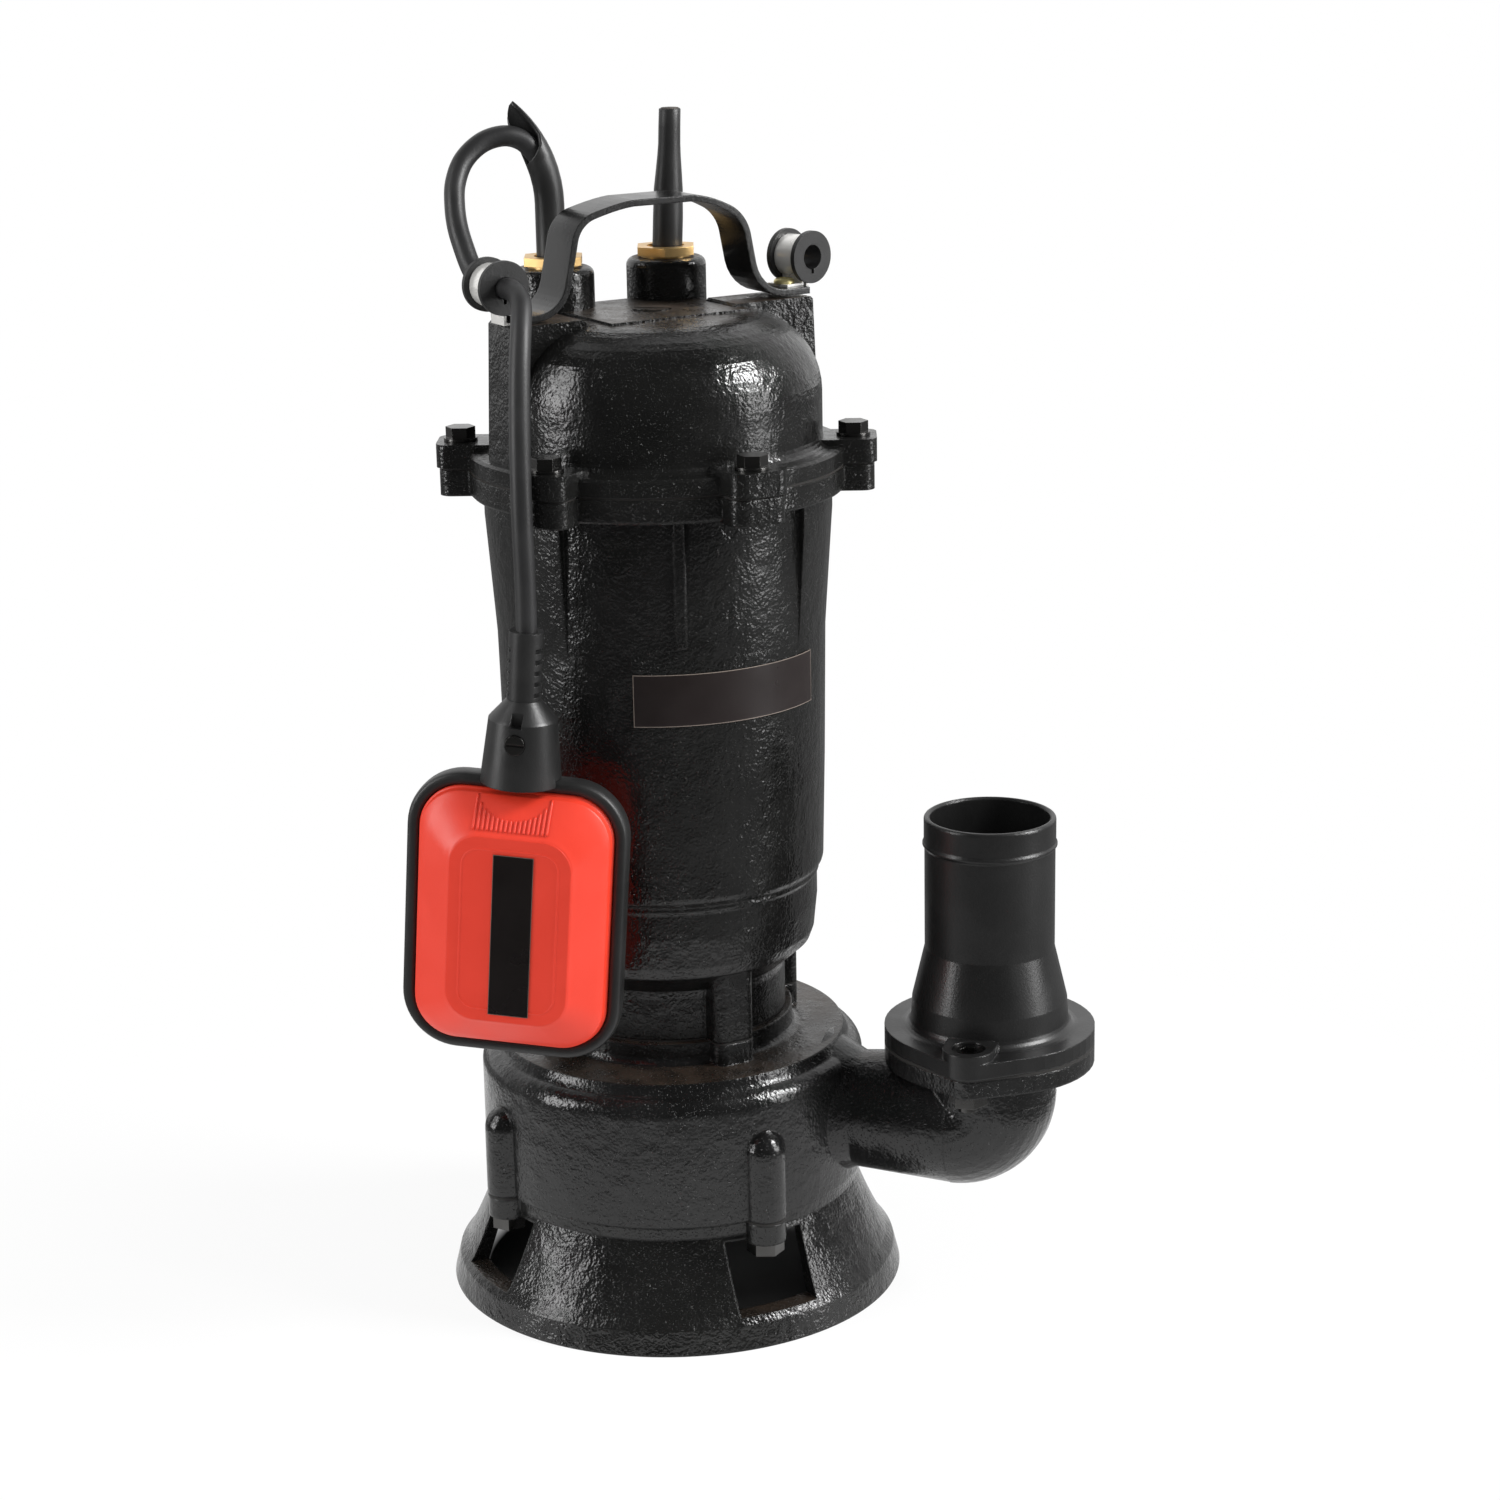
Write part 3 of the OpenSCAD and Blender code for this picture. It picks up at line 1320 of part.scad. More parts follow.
module rotor_core() {
    color([0.4, 0.41, 0.43])
    translate([0, 0, stator_z]) ring(rotor_r, shaft_r + fit, stack_h);
}

// Cast end rings of the squirrel cage, with their fan blades
module rotor_end_rings() {
    ring_h = 8;
    r_in = rotor_r - 11;
    color([0.75, 0.76, 0.78]) {
        translate([0, 0, stator_z - ring_h]) end_ring(r_in, ring_h);
        translate([0, 0, stator_top]) {
            end_ring(r_in, ring_h);
            around([for (i = [0 : 5]) 60 * i])
                translate([r_in + 1, -1, ring_h - cut]) cube([8, 2, 7]);
        }
    }
}

module end_ring(r_in, h) {
    ring(rotor_r - 0.5, r_in, h);
}

// ---- Impeller ----

// One vane: a crescent between two circles, trimmed to the impeller's rim
module vane_outline() {
    bow = 0.62 * impeller_r;
    intersection() {
        translate([0, bow - 4]) difference() {
            circle(r = bow);
            circle(r = bow - vane_t);
        }
        translate([0, -impeller_r]) square([impeller_r, 2 * impeller_r]);
        circle(r = impeller_r - 0.5);
    }
}

module impeller() {
    color([0.25, 0.25, 0.27])
    difference() {
        union() {
            translate([0, 0, shroud_z]) cylinder(h = shroud_t, r = impeller_r);
            translate([0, 0, hub_z]) cylinder(h = hub_top - hub_z, r = hub_r);
            translate([0, 0, impeller_z]) cylinder(h = shroud_z - impeller_z, r1 = hub_r + 1, r2 = hub_r + 4);
            intersection() {
                translate([0, 0, impeller_z]) linear_extrude(shroud_z - impeller_z + 1)
                    for (i = [0 : vane_count - 1]) rotate(360 * i / vane_count) vane_outline();
                translate([0, 0, impeller_z])
                    cylinder(h = impeller_h, r1 = impeller_r - 4, r2 = impeller_r);
            }
        }
        translate([0, 0, impeller_z - cut]) cylinder(h = impeller_h + 30, r = seal_r + fit);
        translate([0, 0, impeller_z - cut]) cylinder(h = hub_z - impeller_z + cut, r = 11);
        translate([0, -key_w / 2, key_z]) cube([seal_r + 2.6, key_w, hub_top - key_z + cut]);
    }
}

module impeller_key() {
    key_side = key_w - 2 * fit;
    color([0.6, 0.6, 0.62])
    translate([seal_r - 2.5 + fit, -key_side / 2, key_z + fit]) cube([key_side, key_side, key_len - 2 * fit]);
}

module impeller_nut() {
    color([0.7, 0.65, 0.4])
    translate([0, 0, hub_z - nut_h]) difference() {
        hexagon(17, nut_h);
        translate([0, 0, -cut]) cylinder(h = nut_h + 2 * cut, r = 5 + thread_gap);
    }
}

// ---- Float ----

// Puts the children where the float hangs: -Y is its front face, +Z runs up its neck
module at_float() {
    translate(float_at) rotate([0, 0, float_turn]) rotate([0, float_tilt, 0]) children();
}

// Stands a flat outline up across the float, from one depth towards its front
module across_float(from, thickness) {
    translate([0, from, 0]) rotate([90, 0, 0]) linear_extrude(thickness) children();
}

shell_w = float_w - 2 * rim_w - 2 * thread_gap;
shell_h = float_h - 2 * rim_w - 2 * thread_gap;

// Pillow between the shell's outline and its raised panel, from a depth behind the middle
module shell_pillow(inset, behind) {
    foot = rim_t / 2 + 2.5;
    hull() {
        across_float(behind, behind + foot - inset)
            rounded_rect(shell_w - 2 * inset, shell_h - 2 * inset, float_corner - rim_w - inset, $fn = 40);
        across_float(-foot - 4 + inset, 1)
            rounded_rect(shell_w - 12 - 2 * inset, shell_h - 13 - 2 * inset, float_corner - rim_w - inset, $fn = 40);
        translate([0, 0, -panel_drop]) across_float(-float_half_t + 1.2 + inset, 1.2)
            rounded_rect(float_panel_w - 2 * inset, float_panel_h - 2 * inset, 9, $fn = 40);
    }
}

// Grip ribs between the panel and the shell's edge, in a fan
module grip_ribs() {
    count = 13;
    pitch = 2.4;
    intersection() {
        union() for (i = [0 : count - 1]) {
            x = (i - (count - 1) / 2) * pitch;
            low = float_panel_h / 2 + 1 - panel_drop;
            high = low + 4.5 + 10 * pow(abs(x) / (count * pitch / 2), 2);
            translate([x - 0.6, -float_half_t + 0.6, low]) cube([1.2, float_half_t - rim_t / 2, high - low]);
        }
        translate([0, -0.9, 0]) shell_pillow(0, 0);
    }
}

module float_front_shell() {
    color([0.82, 0.12, 0.1])
    at_float() {
        difference() {
            shell_pillow(0, 0);
            shell_pillow(shell_wall, cut);
        }
        grip_ribs();
    }
}

module float_back_shell() {
    color([0.82, 0.12, 0.1])
    at_float() mirror([0, 1, 0]) translate([0, -fit, 0]) difference() {
        shell_pillow(0, 0);
        shell_pillow(shell_wall, cut);
    }
}

module float_rim() {
    color([0.06, 0.06, 0.06])
    at_float() across_float(rim_t / 2, rim_t) difference() {
        rounded_rect(float_w, float_h, float_corner);
        rounded_rect(float_w - 2 * rim_w, float_h - 2 * rim_w, float_corner - rim_w);
    }
}

module float_collar() {
    color([0.08, 0.08, 0.08])
    at_float() difference() {
        rotate_extrude() polygon([
            [0, collar_z0], [float_collar_r, collar_z0], [collar_neck_r, cone_z0],
            [collar_neck_r - 0.6, cone_z0 + 0.8], [relief_d / 2, collar_top], [0, collar_top]
        ]);
        // Saddle over the rim, cable space, and the seat of the relief
        translate([-float_w / 2, -rim_t / 2 - thread_gap, collar_z0 - cut])
            cube([float_w, rim_t + 2 * thread_gap, rim_bite + cut + thread_gap]);
        translate([0, 0, collar_z0 - cut]) cylinder(h = cone_z0 - collar_z0 - 2, r = collar_neck_r - 4);
        translate([0, 0, collar_z0]) cylinder(h = float_collar_h, d = relief_d - 2 + 2 * thread_gap);
        // Cable slot and the screw's recess
        translate([-2.2, -float_collar_r, cone_z0 - 1]) cube([4.4, 6, 6]);
        translate([0, -collar_neck_r + 0.2, cone_z0 - 7]) rotate([90, 0, 0])
            cylinder(h = 6, r = 3.75 + thread_gap);
        translate([0, -collar_neck_r + 5, cone_z0 - 7]) rotate([90, 0, 0])
            cylinder(h = 6, r = 1.5 + thread_gap);
    }
}

module collar_screw() {
    color([0.15, 0.15, 0.15])
    at_float() translate([0, -collar_neck_r + 0.2, cone_z0 - 7]) rotate([90, 0, 0]) {
        difference() {
            cylinder(h = 1.4, r = 3.75);
            translate([-4, -0.4, 0.8]) cube([8, 0.8, 2]);
        }
        translate([0, 0, -4.5]) cylinder(h = 5, r = 1.5);
    }
}

// Ribbed strain relief: slots cut in from both sides in turn
module float_relief() {
    slot_pitch = 4.2;
    slot_h = 1.7;
    seat_r = relief_d / 2 - 1;
    color([0.08, 0.08, 0.08])
    at_float() difference() {
        union() {
            translate([0, 0, collar_top]) cylinder(h = relief_h, d = relief_d);
            translate([0, 0, cone_z0 - 3]) cylinder(h = collar_top - cone_z0 + 3, r = seat_r);
        }
        translate([0, 0, cone_z0 - 4]) cylinder(h = relief_h + 20, d = relief_bore_d);
        for (i = [0 : 4], side = [-1, 1]) {
            z = collar_top + 1.6 + i * slot_pitch;
            translate([side * (relief_d / 2 + 1.2) - 3, -relief_d, z]) cube([6, 2 * relief_d, slot_h]);
        }
    }
}

// Tube that the ball runs in, held to the back shell by its foot
module switch_tube() {
    inner_back = float_half_t - shell_wall - 2 * fit;
    tube_out = tube_r + tube_wall;
    low = ball_z - ball_d / 2 - run_gap;
    color([0.9, 0.9, 0.85])
    at_float() difference() {
        union() {
            translate([0, 0, low - 2]) cylinder(h = ball_travel + ball_d + 6, r = tube_out);
            translate([-8, 0, low]) cube([16, inner_back, ball_travel + ball_d]);
        }
        translate([0, 0, low]) cylinder(h = ball_travel + ball_d + 10, r = tube_r);
    }
}

module micro_switch() {
    low = ball_z + ball_d / 2 + ball_travel + 4;
    color([0.15, 0.15, 0.16])
    at_float() {
        translate([-9, -8, low]) cube([18, 16, 20]);
        translate([0, 0, low - 2]) cylinder(h = 2.2, r = 2);
    }
}

module switch_ball() {
    color([0.8, 0.8, 0.82]) at_float() translate([0, 0, ball_z]) sphere(d = ball_d);
}

suction_base();
base_bolts();
casing_gasket();
volute_casing();
outlet_gasket();
outlet_spigot();
flange_bolts();
flange_nuts();
seam_gasket();
casing_screws();
motor_housing();
cover_gasket();
top_cover();
cover_bolts();
cover_plug();
gland_nuts();
gland_seals();
supply_sleeve();
float_sleeve();
supply_cord();
float_cord_loop();
handle();
handle_screws();
clip_bands();
clip_grommets();
stator_core();
stator_windings();
start_capacitor();
bearing_bracket();
bearing_outer_rings();
seal_seat();
lip_seal();
shaft();
rotor_core();
rotor_end_rings();
impeller();
impeller_key();
impeller_nut();
seal_head();
bearing_inner_rings();
lower_balls();
lower_ball_cage();
upper_balls();
upper_ball_cage();
float_cord_drop();
float_relief();
float_collar();
collar_screw();
float_front_shell();
float_back_shell();
float_rim();
switch_tube();
micro_switch();
switch_ball();
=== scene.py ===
"""A submersible sewage pump with a float switch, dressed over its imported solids."""
import math

import bmesh
import bpy
from bpy.props import FloatProperty, FloatVectorProperty, IntProperty, PointerProperty
from mathutils import Matrix, Vector


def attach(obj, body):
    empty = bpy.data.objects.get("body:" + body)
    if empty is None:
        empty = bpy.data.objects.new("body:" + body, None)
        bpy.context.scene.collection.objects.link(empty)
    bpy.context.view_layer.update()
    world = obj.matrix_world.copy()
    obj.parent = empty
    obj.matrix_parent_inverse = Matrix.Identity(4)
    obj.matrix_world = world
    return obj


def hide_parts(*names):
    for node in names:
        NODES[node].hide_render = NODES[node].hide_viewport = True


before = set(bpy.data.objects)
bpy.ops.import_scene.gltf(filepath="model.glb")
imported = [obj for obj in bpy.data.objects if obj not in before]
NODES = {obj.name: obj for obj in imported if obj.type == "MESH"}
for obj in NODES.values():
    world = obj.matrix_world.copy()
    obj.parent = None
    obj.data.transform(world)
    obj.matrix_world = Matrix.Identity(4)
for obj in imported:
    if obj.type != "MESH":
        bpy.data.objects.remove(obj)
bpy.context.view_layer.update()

bl_info = {
    "name": "Sewage Pump Dressing",
    "version": (1, 0, 0),
    "blender": (4, 5, 0),
    "location": "View3D > Sidebar > Pump",
    "description": "Camera, light, finishes and soft parts of a submersible sewage pump",
    "category": "Object",
}

# Routes of the float's cord, in metres: gland to clip, and clip to float
LOOP_ROUTE = (
    (-0.0420, 0.0052, 0.4000), (-0.0420, 0.0052, 0.4160), (-0.0423, 0.0051, 0.4300),
    (-0.0430, 0.0049, 0.4400), (-0.0446, 0.0044, 0.4480), (-0.0480, 0.0034, 0.4545),
    (-0.0526, 0.0018, 0.4587), (-0.0583, -0.0015, 0.4602), (-0.0650, -0.0065, 0.4580),
    (-0.0702, -0.0125, 0.4520), (-0.0718, -0.0182, 0.4440), (-0.0704, -0.0235, 0.4360),
    (-0.0678, -0.0280, 0.4283), (-0.0640, -0.0320, 0.4208), (-0.0602, -0.0354, 0.4144),
    (-0.0563, -0.0390, 0.4109), (-0.0521, -0.0432, 0.4098), (-0.04576, -0.04907, 0.4098),
    (-0.0402, -0.05426, 0.4098),
)
DROP_ROUTE = (
    (-0.040127, -0.054328, 0.4098), (-0.03874, -0.05562, 0.4098), (-0.0364, -0.0577, 0.4097),
    (-0.0324, -0.0618, 0.4083), (-0.0293, -0.0673, 0.4046), (-0.0274, -0.0740, 0.3966),
    (-0.0262, -0.0800, 0.3840), (-0.0254, -0.0842, 0.3670), (-0.0250, -0.0864, 0.3480),
    (-0.0249, -0.0869, 0.3280), (-0.0248, -0.0864, 0.3080), (-0.0250, -0.08605, 0.2920),
    (-0.02543, -0.08605, 0.2840),
)
# Where the float hangs, and how it is turned and tilted there
FLOAT_AT = Vector((-0.0332, -0.087, 0.1774))
FLOAT_TURN = math.radians(7)
FLOAT_TILT = math.radians(4.2)
FLOAT_FRAME = (
    Matrix.Translation(FLOAT_AT) @ Matrix.Rotation(FLOAT_TURN, 4, "Z") @ Matrix.Rotation(FLOAT_TILT, 4, "Y")
)
# Share of the way from the shell's outline to its panel, and depth there from the middle plane
SLOPE = (
    (0, 0.0), (0, 0.0046), (0.03, 0.0048), (0.048, 0.0052), (0.054, 0.0076), (0.062, 0.0082), (0.08, 0.0086),
    (0.28, 0.0108), (0.5, 0.0131), (0.7, 0.0152), (0.85, 0.0167), (0.95, 0.0177), (1.0, 0.0184),
)
# The raised panel: how far it sits right of and below the float's middle, and its corner radius
PANEL_SHIFT, PANEL_DROP, PANEL_CORNER = 0.0010, 0.001, 0.0115
# Inset from the panel's outline and height over its face, with one fine raised line near the edge
PANEL_RELIEF = (
    (0, -0.0006), (0, -0.0001), (0.0003, 0), (0.0007, 0), (0.0043, 0), (0.0046, 0), (0.0048, 0.00022),
    (0.0051, 0.00022), (0.0053, 0), (0.0056, 0), (0.012, 0),
)
# Wall left of the float lead's sleeve round its axis, at each turn of its bend, in degrees from its back
SLIT = (
    (0, -179.6, 179.6), (5, -179.6, 179.6), (10, -179.6, 179.6), (16, -179.6, 179.6), (21, -179.6, 179.6),
    (23, -176, 135), (25, -172, 95), (28, -166, 55), (32, -156, 25), (36, -148, 14), (40, -138, 9),
    (43, -130, 6), (45.5, -118, 4), (47.5, -103, 2), (49, -84, -1), (50, -62, -5), (50.6, -40, -12),
)
# Axes of the glands, and the heights of the sleeves' feet and of the nuts' tops
LEFT_GLAND = Vector((-0.0416, 0.0050, 0))
RIGHT_GLAND = Vector((-0.0075, 0.0412, 0))
SLEEVE_FOOT = 0.4085
GLAND_TOP = 0.4142
# Height, lean and radius along the supply lead's sleeve, and the direction that it leans in
SUPPLY_SLEEVE = (
    (SLEEVE_FOOT, 0.0002, 0.0056), (GLAND_TOP, 0.0007, 0.0059), (0.4250, 0.0012, 0.0059),
    (0.4360, 0.0016, 0.0057), (0.4420, 0.0019, 0.0052), (0.4490, 0.0022, 0.0046),
    (0.4535, 0.0024, 0.00435), (0.4600, 0.0026, 0.0043), (0.4668, 0.0029, 0.00425), (0.4671, 0.0029, 0.0040),
)
LEAN_WAY = (0.96, 0.27)
# The drum's plate: radius, first turn and sweep in degrees, and lower and upper edge
DRUM_RADIUS = 0.0646
DRUM_PLATE_TURN = (-82.5, 72.2)
DRUM_PLATE_EDGES = (0.2468, 0.2670)
# The float's plate: its centre on the float's face, and half its width and height
FLOAT_PLATE_CENTRE = (0.00225, -0.00275)
FLOAT_PLATE_HALF = (0.00775, 0.03175)
# The floor by distance from the axis: where its painted shade under the pump ends, where the floor
# pales to the backdrop, and where it stops shining in polished surfaces
UNDER_PUMP = (0.078, 0.092)
FLOOR_PALES = (0.2, 0.42)
SHEET_END = (0.24, 0.30)
# Directions of the white backdrop and of the even light's stronger side
BACKDROP_WAY = (-0.279, 0.96, 0.0)
FILL_WAY = (0.25, -0.88, 0.4)
# Where the softboxes point, and how far off they stand
LAMPS_AIM = Vector((0, 0, 0.3))
LAMPS_AWAY = 1.5


# ---- Sizes and colours ----

class CameraSettings(bpy.types.PropertyGroup):
    place: FloatVectorProperty(
        name="Place", description="Where the camera stands", default=(0.38532, -1.20792, 0.58261),
        subtype="TRANSLATION", unit="LENGTH")
    aim: FloatVectorProperty(
        name="Aim", description="Direction that the camera looks in", default=(-0.2676, 0.9232, -0.2759),
        subtype="DIRECTION")
    upward: FloatVectorProperty(
        name="Upward", description="Direction of the top of the frame", default=(-0.0591, 0.2700, 0.9610),
        subtype="DIRECTION")
    lens: FloatProperty(
        name="Lens", description="Focal length on a 36 mm sensor", default=79.615, min=20, max=200,
        subtype="DISTANCE_CAMERA")


class LightSettings(bpy.types.PropertyGroup):
    surround: FloatProperty(
        name="Surround", description="Level of the even light from all round", default=0.46, min=0, max=2)
    room: FloatProperty(
        name="Room", description="How bright the room looks in polished surfaces", default=0.05, min=0, max=1)
    fill: FloatProperty(
        name="Fill", description="Share by which the even light is stronger from the front", default=0.6,
        min=0, max=1)
    left_power: FloatProperty(
        name="Left softbox", description="Power of the softbox on the left", default=4, unit="POWER")
    right_power: FloatProperty(
        name="Right softbox", description="Power of the softbox on the right", default=26, unit="POWER")
    strip_power: FloatProperty(
        name="Strips", description="Power of each low strip light", default=10, unit="POWER")
    box_size: FloatVectorProperty(
        name="Softbox size", description="Width and height of each softbox", size=2, default=(0.40, 0.46),
        subtype="XYZ_LENGTH", unit="LENGTH")
    strip_size: FloatVectorProperty(
        name="Strip size", description="Width and height of each strip light", size=2, default=(0.40, 0.9),
        subtype="XYZ_LENGTH", unit="LENGTH")


class PaintSettings(bpy.types.PropertyGroup):
    black: FloatVectorProperty(
        name="Cast paint", description="Colour of the gloss paint on the castings",
        default=(0.0040, 0.0040, 0.0038), subtype="COLOR", min=0, max=1)
    casing: FloatVectorProperty(
        name="Casing paint", description="Colour of the paint on the pump casing and outlet",
        default=(0.0045, 0.0045, 0.0045), subtype="COLOR", min=0, max=1)
    dust: FloatVectorProperty(
        name="Dust", description="Colour of the dust on the level faces",
        default=(0.060, 0.041, 0.028), subtype="COLOR", min=0, max=1)
    pebble: FloatProperty(
        name="Pebble", description="Size of the pebbles of the cast surface", default=0.0011, unit="LENGTH")
    red: FloatVectorProperty(
        name="Float red", description="Colour of the float's shells",
        default=(0.64, 0.038, 0.018), subtype="COLOR", min=0, max=1)


class CordSettings(bpy.types.PropertyGroup):
    diameter: FloatProperty(
        name="Cord", description="Diameter of the float's cord", default=0.008, unit="LENGTH")
    supply: FloatProperty(
        name="Supply lead", description="Diameter of the supply lead", default=0.007, unit="LENGTH")


class FloatSettings(bpy.types.PropertyGroup):
    width: FloatProperty(name="Width", description="Width of the float", default=0.085, unit="LENGTH")
    height: FloatProperty(name="Height", description="Height of the float", default=0.1105, unit="LENGTH")
    half_depth: FloatProperty(
        name="Half depth", description="From the middle plane to a face", default=0.0186, unit="LENGTH")
    corner: FloatProperty(name="Corner", description="Corner radius", default=0.022, unit="LENGTH")
    rim_width: FloatProperty(name="Rim", description="Width of the black rim", default=0.0052, unit="LENGTH")
    rim_depth: FloatProperty(
        name="Rim depth", description="Depth of the black rim", default=0.010, unit="LENGTH")
    panel_width: FloatProperty(
        name="Panel width", description="Width of the raised panel", default=0.0468, unit="LENGTH")
    panel_height: FloatProperty(
        name="Panel height", description="Height of the raised panel", default=0.073, unit="LENGTH")
    ribs: IntProperty(name="Ribs", description="Grip ribs above the panel", default=17, min=3, max=25)


GROUPS = {
    "pump_camera": CameraSettings,
    "pump_light": LightSettings,
    "pump_paint": PaintSettings,
    "pump_cords": CordSettings,
    "pump_float": FloatSettings,
}


# ---- Shader helpers ----

def put(tree, kind, **sockets):
    """A shader node with values or links on its sockets, named with underscores for spaces."""
    node = tree.nodes.new(kind)
    for name, value in sockets.items():
        socket = node.inputs[int(name[1:])] if name[0] == "i" and name[1:].isdigit() \
            else node.inputs[name.replace("_", " ")]
        if isinstance(value, bpy.types.NodeSocket):
            tree.links.new(value, socket)
        elif isinstance(value, tuple) and len(value) == 3 and socket.type == "RGBA":
            socket.default_value = (*value, 1)
        else:
            socket.default_value = value
    return node


def calc(tree, operation, a, b=0.0, clamp=False):
    node = put(tree, "ShaderNodeMath", i0=a, i1=b)
    node.operation = operation
    node.use_clamp = clamp
    return node.outputs[0]


def between(tree, value, low, high, to_low=0.0, to_high=1.0):
    node = put(tree, "ShaderNodeMapRange", Value=value, From_Min=low, From_Max=high,
               To_Min=to_low, To_Max=to_high)
    node.clamp = True
    return node.outputs[0]


def blended(tree, amount, a, b):
    node = tree.nodes.new("ShaderNodeMix")
    node.data_type = "RGBA"
    for socket, value in ((node.inputs[0], amount), (node.inputs[6], a), (node.inputs[7], b)):
        if isinstance(value, bpy.types.NodeSocket):
            tree.links.new(value, socket)
        elif isinstance(value, (int, float)):
            socket.default_value = value
        else:
            socket.default_value = (*value, 1)
    return node.outputs[2]


def noise(tree, size, detail=2.0, distortion=0.0, vector=None):
    """Noise whose features are about size metres across, in the object's own coordinates."""
    if vector is None:
        vector = tree.nodes.new("ShaderNodeTexCoord").outputs["Object"]
    node = put(tree, "ShaderNodeTexNoise", Vector=vector, Detail=detail, Distortion=distortion)
    if isinstance(size, bpy.types.NodeSocket):
        tree.links.new(calc(tree, "DIVIDE", 1.0, size), node.inputs["Scale"])
    else:
        node.inputs["Scale"].default_value = 1 / size
    return node.outputs[0]


def effect_group(name, inputs, outputs):
    """An empty shader group with named float inputs, and outputs by socket kind."""
    tree = bpy.data.node_groups.new(name, "ShaderNodeTree")
    for label, value in inputs.items():
        socket = tree.interface.new_socket(label, in_out="INPUT", socket_type="NodeSocketFloat")
        socket.default_value = value
    for label, kind in outputs.items():
        tree.interface.new_socket(label, in_out="OUTPUT", socket_type=kind)
    return tree, tree.nodes.new("NodeGroupInput").outputs, tree.nodes.new("NodeGroupOutput").inputs


def cast_skin_group():
    """Pebbles, slow waves, specks and pits of thick paint over a sand casting, in millimetres."""
    tree, given, out = effect_group(
        "cast skin", {"Pebble": 0.0009, "Relief": 0.1, "Specks": 0.05, "Pits": 0.03},
        {"Height": "NodeSocketFloat", "Patch": "NodeSocketFloat", "Pit": "NodeSocketFloat"})
    patch = between(tree, noise(tree, 0.03, 3.0), 0.35, 0.65)
    pebbles = noise(tree, given["Pebble"], 0.8)
    broad = noise(tree, calc(tree, "MULTIPLY", given["Pebble"], 2.6), 0.5)
    strength = calc(tree, "MULTIPLY", given["Relief"],
                    between(tree, noise(tree, 0.011, 1.0), 0.3, 0.7, 0.45, 1.25))
    height = calc(tree, "MULTIPLY", calc(tree, "ADD", pebbles, calc(tree, "MULTIPLY", broad, 1.1)), strength)
    height = calc(tree, "ADD", height, calc(tree, "MULTIPLY", noise(tree, 0.014, 1.0), 0.35))
    speck = between(tree, noise(tree, 0.0007, 0.0), 0.7, 0.78)
    height = calc(tree, "ADD", height, calc(tree, "MULTIPLY", speck, given["Specks"]))
    pit = between(tree, noise(tree, 0.0013, 0.0), 0.27, 0.22)
    height = calc(tree, "SUBTRACT", height, calc(tree, "MULTIPLY", pit, given["Pits"]))
    tree.links.new(height, out["Height"])
    tree.links.new(patch, out["Patch"])
    tree.links.new(pit, out["Pit"])
    return tree


def level_dust_group():
    """Mask of dust that lies on faces that look up."""
    tree, given, out = effect_group(
        "level dust", {"Steepest": 0.95, "Cover": 0.9}, {"Mask": "NodeSocketFloat"})
    facing = put(tree, "ShaderNodeSeparateXYZ",
                 Vector=tree.nodes.new("ShaderNodeNewGeometry").outputs["Normal"]).outputs["Z"]
    up = put(tree, "ShaderNodeMapRange", Value=facing, From_Min=given["Steepest"], From_Max=0.992).outputs[0]
    patches = between(tree, noise(tree, 0.012, 5.0, 0.4), 0.3, 0.62)
    specks = between(tree, noise(tree, 0.0011, 2.0), 0.42, 0.62)
    cover = calc(tree, "ADD", calc(tree, "MULTIPLY", patches, 0.65), calc(tree, "MULTIPLY", specks, 0.35))
    tree.links.new(calc(tree, "MULTIPLY", calc(tree, "MULTIPLY", up, cover), given["Cover"]), out["Mask"])
    return tree


def fine_grain_group():
    """Even fine grain of moulded or machined skin."""
    tree, given, out = effect_group(
        "fine grain", {"Size": 0.0006}, {"Height": "NodeSocketFloat", "Patch": "NodeSocketFloat"})
    tree.links.new(noise(tree, given["Size"], 2.0), out["Height"])
    tree.links.new(between(tree, noise(tree, 0.02, 3.0, 0.3), 0.35, 0.65), out["Patch"])
    return tree


def worn_edge_group():
    """Mask of the edges that handling rubs, where the rounded normal leaves the true one."""
    tree, given, out = effect_group(
        "worn edge", {"Width": 0.0008, "Worn": 0.5}, {"Mask": "NodeSocketFloat"})
    bevel = tree.nodes.new("ShaderNodeBevel")
    bevel.samples = 4
    tree.links.new(given["Width"], bevel.inputs["Radius"])
    dot = tree.nodes.new("ShaderNodeVectorMath")
    dot.operation = "DOT_PRODUCT"
    tree.links.new(bevel.outputs[0], dot.inputs[0])
    tree.links.new(tree.nodes.new("ShaderNodeNewGeometry").outputs["Normal"], dot.inputs[1])
    edge = between(tree, dot.outputs["Value"], 0.98, 0.82)
    rubbed = between(tree, noise(tree, 0.004, 4.0), 0.45, 0.62)
    tree.links.new(calc(tree, "MULTIPLY", calc(tree, "MULTIPLY", edge, rubbed), given["Worn"]), out["Mask"])
    return tree


EFFECTS = {
    "cast skin": cast_skin_group, "level dust": level_dust_group,
    "fine grain": fine_grain_group, "worn edge": worn_edge_group,
}


def effect(tree, name, **values):
    group = bpy.data.node_groups.get(name) or EFFECTS[name]()
    node = tree.nodes.new("ShaderNodeGroup")
    node.node_tree = group
    for key, value in values.items():
        node.inputs[key].default_value = value
    return node.outputs


def finish_of(name, **constants):
    """A new material and its Principled shader, with plain values on the shader's own sockets."""
    material = bpy.data.materials.new(name)
    material.use_nodes = True
    tree = material.node_tree
    shader = tree.nodes["Principled BSDF"]
    for key, value in constants.items():
        socket = shader.inputs[key.replace("_", " ")]
        socket.default_value = (*value, 1) if socket.type == "RGBA" else value
    return material, tree, shader.inputs


